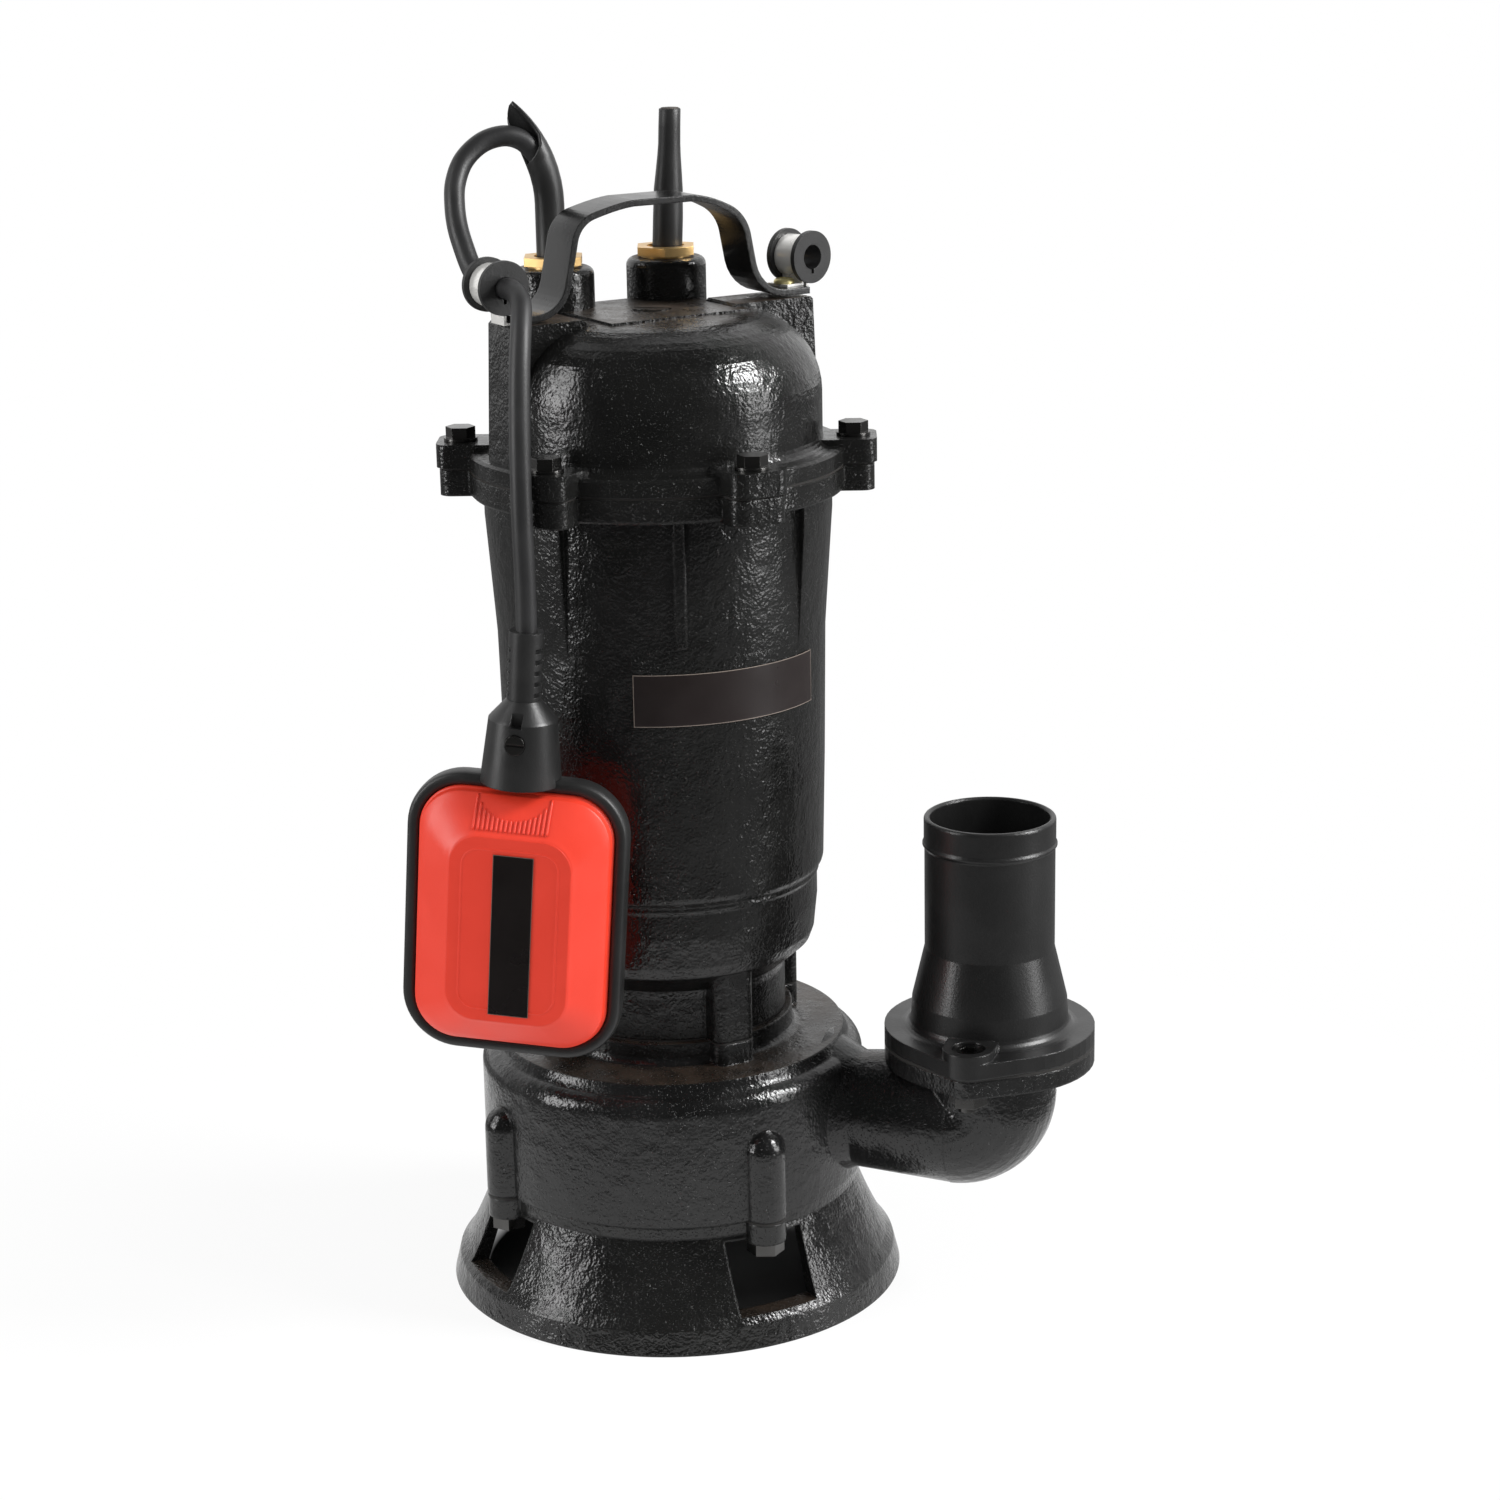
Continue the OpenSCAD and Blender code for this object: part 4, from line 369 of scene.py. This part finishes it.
def bumped(tree, sockets, height, depth, strength=1.0, round_edges=0.0):
    """Feeds a height into the shader's normal, over edges rounded by a radius."""
    bump = put(tree, "ShaderNodeBump", Height=height, Distance=depth, Strength=strength)
    if round_edges:
        bevel = put(tree, "ShaderNodeBevel", Radius=round_edges)
        bevel.samples = 4
        tree.links.new(bevel.outputs[0], bump.inputs["Normal"])
    tree.links.new(bump.outputs[0], sockets["Normal"])


# ---- Finishes ----

def cast_paint(name, colour, dust, pebble, relief=0.3, rough=(0.18, 0.26), specks=0.2, pits=0.03, cover=0.5,
               rounding=0.0012, worn=0.3, dust_from=0.0):
    """Gloss paint on a casting: pebbled, rubbed at its edges, and dusty on level faces above a height."""
    material, tree, sockets = finish_of(name, Specular_IOR_Level=0.5)
    skin = effect(tree, "cast skin", Pebble=pebble, Relief=relief, Specks=specks, Pits=pits)
    dusty = effect(tree, "level dust", Cover=cover)["Mask"]
    if dust_from:
        place = tree.nodes.new("ShaderNodeTexCoord").outputs["Object"]
        height = put(tree, "ShaderNodeSeparateXYZ", Vector=place).outputs["Z"]
        dusty = calc(tree, "MULTIPLY", dusty, between(tree, height, dust_from, dust_from + 0.003))
    tone = blended(tree, skin["Patch"], colour, tuple(1.6 * c for c in colour))
    if worn:
        rubbed = effect(tree, "worn edge", Width=0.0009, Worn=worn)["Mask"]
        tone = blended(tree, rubbed, tone, (0.03, 0.028, 0.026))
    tree.links.new(blended(tree, dusty, tone, dust), sockets["Base Color"])
    gloss = between(tree, skin["Patch"], 0, 1, *rough)
    gloss = calc(tree, "ADD", gloss, calc(tree, "MULTIPLY", dusty, 0.4), clamp=True)
    tree.links.new(gloss, sockets["Roughness"])
    bumped(tree, sockets, skin["Height"], 0.001, 1.0, rounding)
    return material


def moulded(name, colour, rough, grain=0.0006, depth=0.00004, specular=0.5, rounding=0.0, shift=1.25):
    """Plastic, rubber and smooth paint: a fine grain, with small changes of tone and gloss."""
    material, tree, sockets = finish_of(name, Specular_IOR_Level=specular)
    skin = effect(tree, "fine grain", Size=grain)
    tree.links.new(blended(tree, skin["Patch"], colour, tuple(min(1, shift * c) for c in colour)),
                   sockets["Base Color"])
    tree.links.new(between(tree, skin["Patch"], 0, 1, rough * 0.88, min(1, rough * 1.15)),
                   sockets["Roughness"])
    bumped(tree, sockets, skin["Height"], depth, 1.0, rounding)
    return material


def metal(name, colour, rough, grain=0.0005, depth=0.00002, tarnish=0.75, rounding=0.0004, metallic=1.0):
    """Bare or plated metal: a fine grain, patches of tarnish, and edges rubbed bright."""
    material, tree, sockets = finish_of(name, Metallic=metallic)
    skin = effect(tree, "fine grain", Size=grain)
    worn = effect(tree, "worn edge", Width=0.0005, Worn=0.5)["Mask"]
    tone = blended(tree, skin["Patch"], tuple(tarnish * c for c in colour), colour)
    tree.links.new(blended(tree, worn, tone, tuple(min(1, 1.3 * c) for c in colour)), sockets["Base Color"])
    tree.links.new(between(tree, skin["Patch"], 0, 1, rough * 1.25, rough * 0.8), sockets["Roughness"])
    bumped(tree, sockets, skin["Height"], depth, 1.0, rounding)
    return material


def finishes(paint):
    black, casing, dust = tuple(paint.black), tuple(paint.casing), tuple(paint.dust)
    return {
        "black_paint": cast_paint("gloss cast paint", black, dust, paint.pebble),
        "cover_paint": cast_paint("cover paint", black, dust, paint.pebble, relief=0.2, cover=1.0,
                                  rounding=0.0, worn=0.0, dust_from=0.3925),
        "casing_paint": cast_paint("casing paint", casing, dust, paint.pebble * 1.1, relief=0.2,
                                   rough=(0.16, 0.24), specks=0.12, pits=0.14),
        "spigot_paint": moulded("turned spigot paint", tuple(1.7 * c for c in casing), 0.33, 0.0009, 0.00006,
                                rounding=0.0008),
        "handle_paint": moulded("gloss strap paint", (0.005, 0.005, 0.005), 0.24, 0.0016, 0.00004,
                                rounding=0.0008),
        "black_steel": metal("blackened steel", (0.10, 0.098, 0.095), 0.26),
        "bright_steel": metal("bright band steel", (0.9, 0.89, 0.86), 0.26, 0.0009, tarnish=0.9,
                              metallic=0.6),
        "yellow_zinc": metal("yellow zinc", (0.7, 0.62, 0.30), 0.36, metallic=0.7),
        "core_steel": metal("core steel", (0.4, 0.39, 0.38), 0.45),
        "bare_metal": metal("turned steel", (0.55, 0.55, 0.54), 0.3),
        "brass": metal("brass", (0.86, 0.57, 0.24), 0.36, 0.0007, tarnish=0.85, metallic=0.8),
        "copper": metal("enamelled copper", (0.6, 0.24, 0.1), 0.35, 0.0012),
        "impeller_iron": metal("cast iron", (0.16, 0.155, 0.15), 0.55, 0.0012, 0.0001),
        "ceramic": moulded("ceramic", (0.75, 0.73, 0.68), 0.3),
        "gasket": moulded("gasket fibre", (0.012, 0.011, 0.01), 0.75, 0.0005, 0.00008),
        "black_rubber": moulded("moulded rubber", (0.011, 0.011, 0.011), 0.42, 0.0008, 0.00006,
                                rounding=0.0004),
        "cord_rubber": moulded("cord jacket", (0.014, 0.014, 0.0145), 0.46, 0.0009, 0.00005),
        "cord_cut": moulded("cut cord end", (0.05, 0.042, 0.036), 0.6, 0.0009, 0.00008),
        "black_plastic": moulded("black moulding", (0.010, 0.010, 0.010), 0.4, 0.0007, 0.00005,
                                 rounding=0.0004),
        "red_plastic": moulded("red moulding", tuple(paint.red), 0.36, 0.0009, 0.00003, 0.4, shift=1.04),
        # Painted shade: the panel wears the float red at 0.93 of its strength, darker than the slopes that
        # catch more light; its duller gloss is the panel's own finish
        "red_panel_painted_shade": moulded("red panel moulding with painted shade", tuple(0.93 * c for c in paint.red), 0.42, 0.0007, 0.00004,
                             0.25, shift=1.04),
        "pale_plastic": moulded("pale moulding", (0.66, 0.62, 0.52), 0.45),
        "plate_film": moulded("bare plate film", (0.010, 0.0065, 0.0062), 0.3, 0.0012, 0.00002),
        "plate_edge": moulded("plate edge", (0.16, 0.13, 0.11), 0.4, 0.0012, 0.00002),
    }


# Each CAD node and the finish that it wears
NODE_FINISH = {
    "black_paint": ("suction_base", "motor_housing"),
    "cover_paint": ("top_cover", "cover_plug"),
    "casing_paint": ("volute_casing",),
    "spigot_paint": ("outlet_spigot",),
    "handle_paint": ("handle",),
    "black_steel": ("base_bolts", "flange_bolts", "flange_nuts", "casing_screws", "cover_bolts",
                    "collar_screw"),
    "bright_steel": ("clip_bands",),
    "yellow_zinc": ("handle_screws",),
    "core_steel": ("stator_core", "rotor_core"),
    "bare_metal": ("shaft", "bearing_outer_rings", "bearing_inner_rings", "lower_balls", "upper_balls",
                   "lower_ball_cage", "upper_ball_cage", "impeller_key", "impeller_nut", "rotor_end_rings",
                   "bearing_bracket", "switch_ball"),
    "brass": ("gland_nuts",),
    "copper": ("stator_windings",),
    "impeller_iron": ("impeller",),
    "ceramic": ("seal_seat", "seal_head"),
    "gasket": ("casing_gasket", "outlet_gasket", "seam_gasket", "cover_gasket"),
    "black_rubber": ("gland_seals", "supply_sleeve", "float_sleeve", "clip_grommets", "lip_seal",
                     "float_relief", "float_rim"),
    "cord_rubber": ("supply_cord", "float_cord_loop", "float_cord_drop"),
    "black_plastic": ("float_collar", "micro_switch", "start_capacitor"),
    "red_plastic": ("float_front_shell", "float_back_shell"),
    "pale_plastic": ("switch_tube",),
}
LOOKS = {}


def wear(obj, look):
    """Gives an object one finish, on the object and not on its mesh."""
    if not obj.material_slots:
        obj.data.materials.append(None)
    for slot in obj.material_slots:
        slot.link = "OBJECT"
        slot.material = LOOKS[look]


# ---- Mesh helpers ----

def new_piece(name, mesh, look, body, smooth=True):
    mesh.normal_update()
    data = bpy.data.meshes.new(name)
    mesh.to_mesh(data)
    mesh.free()
    obj = bpy.data.objects.new(name, data)
    bpy.context.scene.collection.objects.link(obj)
    if smooth:
        data.shade_smooth()
    wear(obj, look)
    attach(obj, body)
    return obj


def smooth_route(points, parts=8):
    """Points along a curve that passes through each given point."""
    pts = [Vector(p) for p in points]
    ends = [2 * pts[0] - pts[1]] + pts + [2 * pts[-1] - pts[-2]]
    route = []
    for i in range(1, len(ends) - 2):
        a, b, c, d = ends[i - 1:i + 3]
        for k in range(parts):
            t = k / parts
            route.append(0.5 * (2 * b + (c - a) * t + (2 * a - 5 * b + 4 * c - d) * t * t
                                + (3 * b - a - 3 * c + d) * t ** 3))
    route.append(pts[-1])
    return route


def swept(route, radii, sides=32, start_side=Vector((0.3, 1, 0.1))):
    """A closed tube of round sections with a radius at each point of its route."""
    mesh = bmesh.new()
    side = start_side
    rings = []
    for i, point in enumerate(route):
        way = (route[min(i + 1, len(route) - 1)] - route[max(i - 1, 0)]).normalized()
        side = (side - side.dot(way) * way).normalized()
        across = way.cross(side)
        rings.append([
            mesh.verts.new(point + radii[i] * (math.cos(a) * side + math.sin(a) * across))
            for a in (2 * math.pi * k / sides for k in range(sides))])
    skin_rings(mesh, rings)
    mesh.faces.new(list(reversed(rings[0])))
    mesh.faces.new(rings[-1])
    return mesh


def skin_rings(mesh, rings):
    for low, high in zip(rings, rings[1:]):
        for k in range(len(low)):
            mesh.faces.new((low[k], low[(k + 1) % len(low)], high[(k + 1) % len(low)], high[k]))


def float_ring(mesh, outline, depth, shift=0.0, drop=0.0):
    """Vertices along an outline that stands across the float, at a depth behind its middle plane."""
    return [mesh.verts.new(FLOAT_FRAME @ Vector((x + shift, depth, z - drop))) for x, z in outline]


def rounded_outline(width, height, corner, steps=14):
    """Points round a rectangle with round corners, anticlockwise from the right-hand side."""
    points = []
    for turn, (sx, sz) in enumerate(((1, 1), (-1, 1), (-1, -1), (1, -1))):
        for k in range(steps + 1):
            a = math.radians(90 * turn + 90 * k / steps)
            points.append((sx * (width / 2 - corner) + corner * math.cos(a),
                           sz * (height / 2 - corner) + corner * math.sin(a)))
    return points


def cord_piece(name, route, diameter, body, node):
    curve = bpy.data.curves.new(name, "CURVE")
    curve.dimensions = "3D"
    curve.bevel_depth = diameter / 2
    curve.bevel_resolution = 7
    curve.use_fill_caps = True
    spline = curve.splines.new("POLY")
    spline.points.add(len(route) - 1)
    for point, place in zip(spline.points, route):
        point.co = (*place, 1)
    spline.use_smooth = True
    obj = bpy.data.objects.new(name, curve)
    bpy.context.scene.collection.objects.link(obj)
    wear(obj, "cord_rubber")
    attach(obj, body)
    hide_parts(node)
    return obj


# ---- Operators ----

class PUMP_OT_stage(bpy.types.Operator):
    """Camera, floor, softboxes and the light all round"""
    bl_idname = "pump.stage"
    bl_label = "Stage"

    def execute(self, context):
        scene = context.scene
        view, light = scene.pump_camera, scene.pump_light
        scene.view_settings.view_transform = "Standard"
        aim = Vector(view.aim).normalized()
        right = aim.cross(Vector(view.upward)).normalized()
        upward = right.cross(aim)
        camera = bpy.data.objects.new("camera", bpy.data.cameras.new("camera"))
        camera.data.lens = view.lens
        camera.data.sensor_width = 36
        turned = Matrix((right, upward, -aim)).transposed().to_4x4()
        camera.matrix_world = Matrix.Translation(view.place) @ turned
        scene.collection.objects.link(camera)
        scene.camera = camera
        self.floor(scene)
        self.world(scene, light)
        for name, turn, rise, size, power in (
                ("left_softbox", -150, 38, light.box_size, light.left_power),
                ("right_softbox", 4, 36, light.box_size, light.right_power),
                ("left_strip", -144, 10, light.strip_size, light.strip_power),
                ("right_strip", 0, 10, light.strip_size, light.strip_power)):
            self.softbox(scene, size, name, math.radians(turn), math.radians(rise), power)
        return {"FINISHED"}

    def floor(self, scene):
        mesh = bmesh.new()
        corners = [mesh.verts.new(p) for p in ((-3, -0.75, 0), (3, -0.75, 0), (3, 4, 0), (-3, 4, 0))]
        mesh.faces.new(corners)
        data = bpy.data.meshes.new("floor")
        mesh.to_mesh(data)
        mesh.free()
        floor = bpy.data.objects.new("floor", data)
        scene.collection.objects.link(floor)
        material = bpy.data.materials.new("floor")
        material.use_nodes = True
        tree = material.node_tree
        tree.nodes.clear()
        path = tree.nodes.new("ShaderNodeLightPath").outputs
        glow = put(tree, "ShaderNodeEmission", Color=(1, 1, 1), Strength=1.0)
        place = tree.nodes.new("ShaderNodeNewGeometry").outputs["Position"]
        length = put(tree, "ShaderNodeVectorMath", i0=place)
        length.operation = "LENGTH"
        away = length.outputs["Value"]
        # Painted shade: inside the pump's base the floor takes a dark colour (0.12 against 0.82) and loses
        # its glow
        past_painted_shade = between(tree, away, *UNDER_PUMP)
        matt = put(tree, "ShaderNodeBsdfDiffuse",
                   Color=blended(tree, past_painted_shade, (0.12, 0.12, 0.12), (0.82, 0.82, 0.82)))
        plain = between(tree, away, *FLOOR_PALES, 0.9, 1.0)
        sheet = between(tree, away, *SHEET_END, 0.9, 0.12)
        direct = calc(tree, "MAXIMUM", path["Is Camera Ray"], path["Is Transmission Ray"])
        seen = calc(tree, "ADD", calc(tree, "MULTIPLY", direct, plain),
                    calc(tree, "MULTIPLY", path["Is Glossy Ray"], sheet))
        dark = put(tree, "ShaderNodeBsdfDiffuse", Color=(0.1, 0.1, 0.1))
        past_sheet = calc(tree, "MULTIPLY", path["Is Glossy Ray"], between(tree, away, *SHEET_END))
        ground = put(tree, "ShaderNodeMixShader", i0=past_sheet, i1=matt.outputs[0], i2=dark.outputs[0])
        # The glow is held back over the painted shade under the pump
        mix = put(tree, "ShaderNodeMixShader", i0=calc(tree, "MULTIPLY", seen, past_painted_shade),
                  i1=ground.outputs[0], i2=glow.outputs[0])
        out = tree.nodes.new("ShaderNodeOutputMaterial")
        tree.links.new(mix.outputs[0], out.inputs[0])
        data.materials.append(material)

    def world(self, scene, light):
        world = bpy.data.worlds.new("room")
        world.use_nodes = True
        scene.world = world
        tree = world.node_tree
        tree.nodes.clear()
        path = tree.nodes.new("ShaderNodeLightPath").outputs
        way = tree.nodes.new("ShaderNodeTexCoord").outputs["Generated"]
        behind = put(tree, "ShaderNodeVectorMath", i0=way, i1=BACKDROP_WAY)
        behind.operation = "DOT_PRODUCT"
        wall = between(tree, behind.outputs["Value"], 0.1, 0.6, light.room, 1.0)
        fill = put(tree, "ShaderNodeVectorMath", i0=way, i1=FILL_WAY)
        fill.operation = "DOT_PRODUCT"
        even = between(tree, fill.outputs["Value"], -1, 1, light.surround * (1 - light.fill),
                       light.surround * (1 + light.fill))
        plain = calc(tree, "MULTIPLY", calc(tree, "SUBTRACT", 1.0, path["Is Glossy Ray"]), even)
        level = calc(tree, "ADD", plain, calc(tree, "MULTIPLY", path["Is Glossy Ray"], wall))
        seen = calc(tree, "MAXIMUM", path["Is Camera Ray"], path["Is Transmission Ray"])
        level = calc(tree, "MAXIMUM", level, seen)
        back = put(tree, "ShaderNodeBackground", Color=(1, 1, 1), Strength=level)
        out = tree.nodes.new("ShaderNodeOutputWorld")
        tree.links.new(back.outputs[0], out.inputs[0])

    def softbox(self, scene, size, name, turn, rise, power):
        lamp = bpy.data.lights.new(name, "AREA")
        lamp.shape = "RECTANGLE"
        lamp.size, lamp.size_y = size
        lamp.energy = power
        box = bpy.data.objects.new(name, lamp)
        way = Vector((math.cos(turn) * math.cos(rise), math.sin(turn) * math.cos(rise), math.sin(rise)))
        turned = way.to_track_quat("Z", "Y").to_matrix().to_4x4()
        box.matrix_world = Matrix.Translation(LAMPS_AIM + LAMPS_AWAY * way) @ turned
        scene.collection.objects.link(box)


class PUMP_OT_cords(bpy.types.Operator):
    """Cord of the float, from its gland through the clip to the float"""
    bl_idname = "pump.cords"
    bl_label = "Cords"

    def execute(self, context):
        diameter = context.scene.pump_cords.diameter
        cord_piece("float_lead_loop", smooth_route(LOOP_ROUTE), diameter, "pump", "float_cord_loop")
        cord_piece("float_lead_drop", smooth_route(DROP_ROUTE), diameter, "float", "float_cord_drop")
        return {"FINISHED"}


class PUMP_OT_finishes(bpy.types.Operator):
    """Paints, metals, rubbers and plastics of all the solids"""
    bl_idname = "pump.finishes"
    bl_label = "Finishes"

    def execute(self, context):
        LOOKS.update(finishes(context.scene.pump_paint))
        for look, nodes in NODE_FINISH.items():
            for node in nodes:
                wear(NODES[node], look)
        return {"FINISHED"}


class PUMP_OT_float_shells(bpy.types.Operator):
    """The float's two red shells and its black rim"""
    bl_idname = "pump.float_shells"
    bl_label = "Float shells"

    def execute(self, context):
        size = context.scene.pump_float
        for name, node, side in (("front_shell", "float_front_shell", -1),
                                 ("back_shell", "float_back_shell", 1)):
            shell = new_piece(name, self.shell(size, side), "red_plastic", "float")
            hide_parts(node)
            self.panel(size, side)
            self.ribs(size, side)
        self.rim(size)
        return {"FINISHED"}

    def shell(self, size, side):
        """A pillow from the rim up to the raised panel, as rings of round-cornered outlines."""
        wide, high = size.width - 2 * size.rim_width, size.height - 2 * size.rim_width
        corner = size.corner - size.rim_width
        mesh = bmesh.new()
        rings = []
        for share, depth in SLOPE:
            outline = rounded_outline(
                wide + share * (size.panel_width - wide), high + share * (size.panel_height - high),
                corner + share * (PANEL_CORNER - corner))
            rings.append(float_ring(mesh, outline, side * depth, share * PANEL_SHIFT, share * PANEL_DROP))
        if side > 0:
            rings = [list(reversed(ring)) for ring in rings]
        skin_rings(mesh, rings)
        mesh.faces.new(rings[-1])
        bmesh.ops.recalc_face_normals(mesh, faces=mesh.faces)
        return mesh

    def panel(self, size, side):
        """The panel's flat face, with one fine raised line near its edge."""
        mesh = bmesh.new()
        rings = []
        for inset, lift in PANEL_RELIEF:
            outline = rounded_outline(size.panel_width - 2 * inset, size.panel_height - 2 * inset,
                                      max(0.003, PANEL_CORNER - inset))
            rings.append(float_ring(mesh, outline, side * (size.half_depth + lift), PANEL_SHIFT, PANEL_DROP))
        skin_rings(mesh, rings)
        mesh.faces.new(rings[-1])
        mesh.faces.new(list(reversed(rings[0])))
        bmesh.ops.recalc_face_normals(mesh, faces=mesh.faces)
        # The panel's red is darkened as painted shade
        new_piece("front_panel" if side < 0 else "back_panel", mesh, "red_panel_painted_shade", "float")

    def ribs(self, size, side):
        """Upright ribs between the panel and the collar, round a clear half-round field."""
        pitch, low, high = 0.00176, 0.0374, 0.0490
        field, dip, thick, steps = 0.0132, 0.0078, 0.0005, 10
        mesh = bmesh.new()
        for i in range(size.ribs):
            x = (i - (size.ribs - 1) / 2) * pitch
            bite = math.sqrt(max(0, 1 - (x / field) ** 2))
            top = high - dip * bite
            spine = [FLOAT_FRAME @ Vector((x, side * (self.slope_depth(size, z) + 0.0001), z))
                     for z in (low + (top - low) * k / steps for k in range(steps + 1))]
            rod = swept(spine, [thick] * len(spine), 8, Vector((1, 0, 0)))
            part = bpy.data.meshes.new("rib")
            rod.to_mesh(part)
            rod.free()
            mesh.from_mesh(part)
            bpy.data.meshes.remove(part)
        new_piece("front_ribs" if side < 0 else "back_ribs", mesh, "red_plastic", "float")

    def slope_depth(self, size, z):
        """Depth of the shell's face at a height above the panel."""
        high = size.height / 2 - size.rim_width
        drop = high - size.panel_height / 2 + PANEL_DROP
        share = min(1, max(0, (high - z) / drop))
        for (a, low), (b, up) in zip(SLOPE, SLOPE[1:]):
            if a <= share <= b and b > a:
                return low + (up - low) * (share - a) / (b - a)
        return size.half_depth

    def rim(self, size):
        """A closed band round the float, of a section between a square and a circle."""
        sides, squareness = 20, 0.6
        mesh = bmesh.new()
        half, wide = size.rim_depth / 2, size.rim_width
        rings = []
        for k in range(sides):
            a = 2 * math.pi * k / sides
            c, s = math.cos(a), math.sin(a)
            across = wide / 2 * math.copysign(abs(c) ** squareness, c)
            depth = half * math.copysign(abs(s) ** squareness, s)
            inset = wide / 2 - across
            outline = rounded_outline(size.width - 2 * inset, size.height - 2 * inset, size.corner - inset)
            rings.append(float_ring(mesh, outline, depth))
        skin_rings(mesh, rings + rings[:1])
        bmesh.ops.recalc_face_normals(mesh, faces=mesh.faces)
        rim = new_piece("rubber_rim", mesh, "black_rubber", "float")
        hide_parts("float_rim")


class PUMP_OT_sleeves(bpy.types.Operator):
    """Rubber sleeves of both leads, above their glands, and the cut end of the supply lead"""
    bl_idname = "pump.sleeves"
    bl_label = "Sleeves"

    def execute(self, context):
        route = [RIGHT_GLAND + Vector((LEAN_WAY[0] * lean, LEAN_WAY[1] * lean, z))
                 for z, lean, _ in SUPPLY_SLEEVE]
        rubber = swept(route, [radius for _, _, radius in SUPPLY_SLEEVE], 48)
        sleeve = new_piece("supply_lead_sleeve", rubber, "black_rubber", "pump")
        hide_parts("supply_sleeve")
        # The cut end stands a hair out of the sleeve
        end = [*route[:-1], route[-1] + Vector((0, 0, 0.0003))]
        core = swept(end, [context.scene.pump_cords.supply / 2] * len(end))
        lead = new_piece("supply_lead_end", core, "cord_cut", "pump")
        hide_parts("supply_cord")
        self.float_sleeve()
        return {"FINISHED"}

    def float_sleeve(self):
        """A bent tube, cut away in front and below at its top, where its lead leaves."""
        left, front, up = Vector((-0.961, -0.276, 0)), Vector((0.276, -0.961, 0)), Vector((0, 0, 1))
        base = LEFT_GLAND + 0.0008 * left
        bend, bend_z, outer, inner, points = 0.045, 0.434, 0.0057, 0.00415, 24
        mesh = bmesh.new()
        rings = []
        for z in (SLEEVE_FOOT, GLAND_TOP, 0.424):
            rings.append((base + z * up, -left, *SLIT[0][1:]))
        for turn, start, end in SLIT:
            a = math.radians(turn)
            out = -math.cos(a) * left + math.sin(a) * up
            rings.append((base + bend * left + bend_z * up + bend * out, out, start, end))
        loops = []
        for place, out, start, end in rings:
            arc = [math.radians(start + (end - start) * k / (points - 1)) for k in range(points)]
            way = [math.cos(a) * out + math.sin(a) * front for a in arc]
            loops.append([mesh.verts.new(place + outer * w) for w in way]
                         + [mesh.verts.new(place + inner * w) for w in reversed(way)])
        skin_rings(mesh, loops)
        mesh.faces.new(loops[-1])
        mesh.faces.new(list(reversed(loops[0])))
        bmesh.ops.recalc_face_normals(mesh, faces=mesh.faces)
        sleeve = new_piece("float_lead_sleeve", mesh, "black_rubber", "pump")
        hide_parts("float_sleeve")


class PUMP_OT_plates(bpy.types.Operator):
    """Bare plates on the housing and on the float"""
    bl_idname = "pump.plates"
    bl_label = "Plates"

    def execute(self, context):
        face = context.scene.pump_float.half_depth
        # Each plate is a pale edge with a film on it, a little smaller and higher
        for part, border, lift in (("edge", 0, 0), ("film", 0.00028, 0.00005)):
            look = "plate_" + part
            new_piece("bare_body_plate_" + part, self.drum_plate(border, lift), look, "pump")
            new_piece("bare_float_plate_" + part, self.float_plate(face, border, lift), look,
                      "float", smooth=False)
        return {"FINISHED"}

    def drum_plate(self, border, lift):
        columns, radius = 40, DRUM_RADIUS + lift
        margin = math.degrees(border / DRUM_RADIUS)
        first, sweep = DRUM_PLATE_TURN
        mesh = bmesh.new()
        low, high = [], []
        for i in range(columns + 1):
            a = math.radians(first + margin + (sweep - 2 * margin) * i / columns)
            for row, z in ((low, DRUM_PLATE_EDGES[0] + border), (high, DRUM_PLATE_EDGES[1] - border)):
                row.append(mesh.verts.new((radius * math.cos(a), radius * math.sin(a), z)))
        for i in range(columns):
            mesh.faces.new((low[i], low[i + 1], high[i + 1], high[i]))
        return mesh

    def float_plate(self, face, border, lift):
        proud, film = 0.0004, 0.0001
        wide, tall = FLOAT_PLATE_HALF[0] - border, FLOAT_PLATE_HALF[1] - border
        mesh = bmesh.new()
        corners = [(-wide, -tall), (wide, -tall), (wide, tall), (-wide, tall)]
        mesh.faces.new(float_ring(mesh, corners, -face - proud - lift, FLOAT_PLATE_CENTRE[0],
                                  -FLOAT_PLATE_CENTRE[1]))
        bmesh.ops.solidify(mesh, geom=mesh.faces[:], thickness=-film)
        return mesh


class PUMP_PT_dressing(bpy.types.Panel):
    bl_idname = "PUMP_PT_dressing"
    bl_label = "Sewage Pump"
    bl_space_type = "VIEW_3D"
    bl_region_type = "UI"
    bl_category = "Pump"

    def draw(self, context):
        for name, group in GROUPS.items():
            box = self.layout.box()
            settings = getattr(context.scene, name)
            for field in group.__annotations__:
                box.prop(settings, field)
        for operator in OPERATORS:
            self.layout.operator(operator.bl_idname)


OPERATORS = (
    PUMP_OT_stage, PUMP_OT_finishes, PUMP_OT_cords, PUMP_OT_sleeves, PUMP_OT_float_shells, PUMP_OT_plates,
)
CLASSES = (*GROUPS.values(), *OPERATORS, PUMP_PT_dressing)


def register():
    for cls in CLASSES:
        bpy.utils.register_class(cls)
    for name, group in GROUPS.items():
        setattr(bpy.types.Scene, name, PointerProperty(type=group))


def unregister():
    for name in GROUPS:
        delattr(bpy.types.Scene, name)
    for cls in reversed(CLASSES):
        bpy.utils.unregister_class(cls)


def main():
    register()
    for operator in OPERATORS:
        family, call = operator.bl_idname.split(".")
        getattr(getattr(bpy.ops, family), call)()


if __name__ == "__main__":
    main()
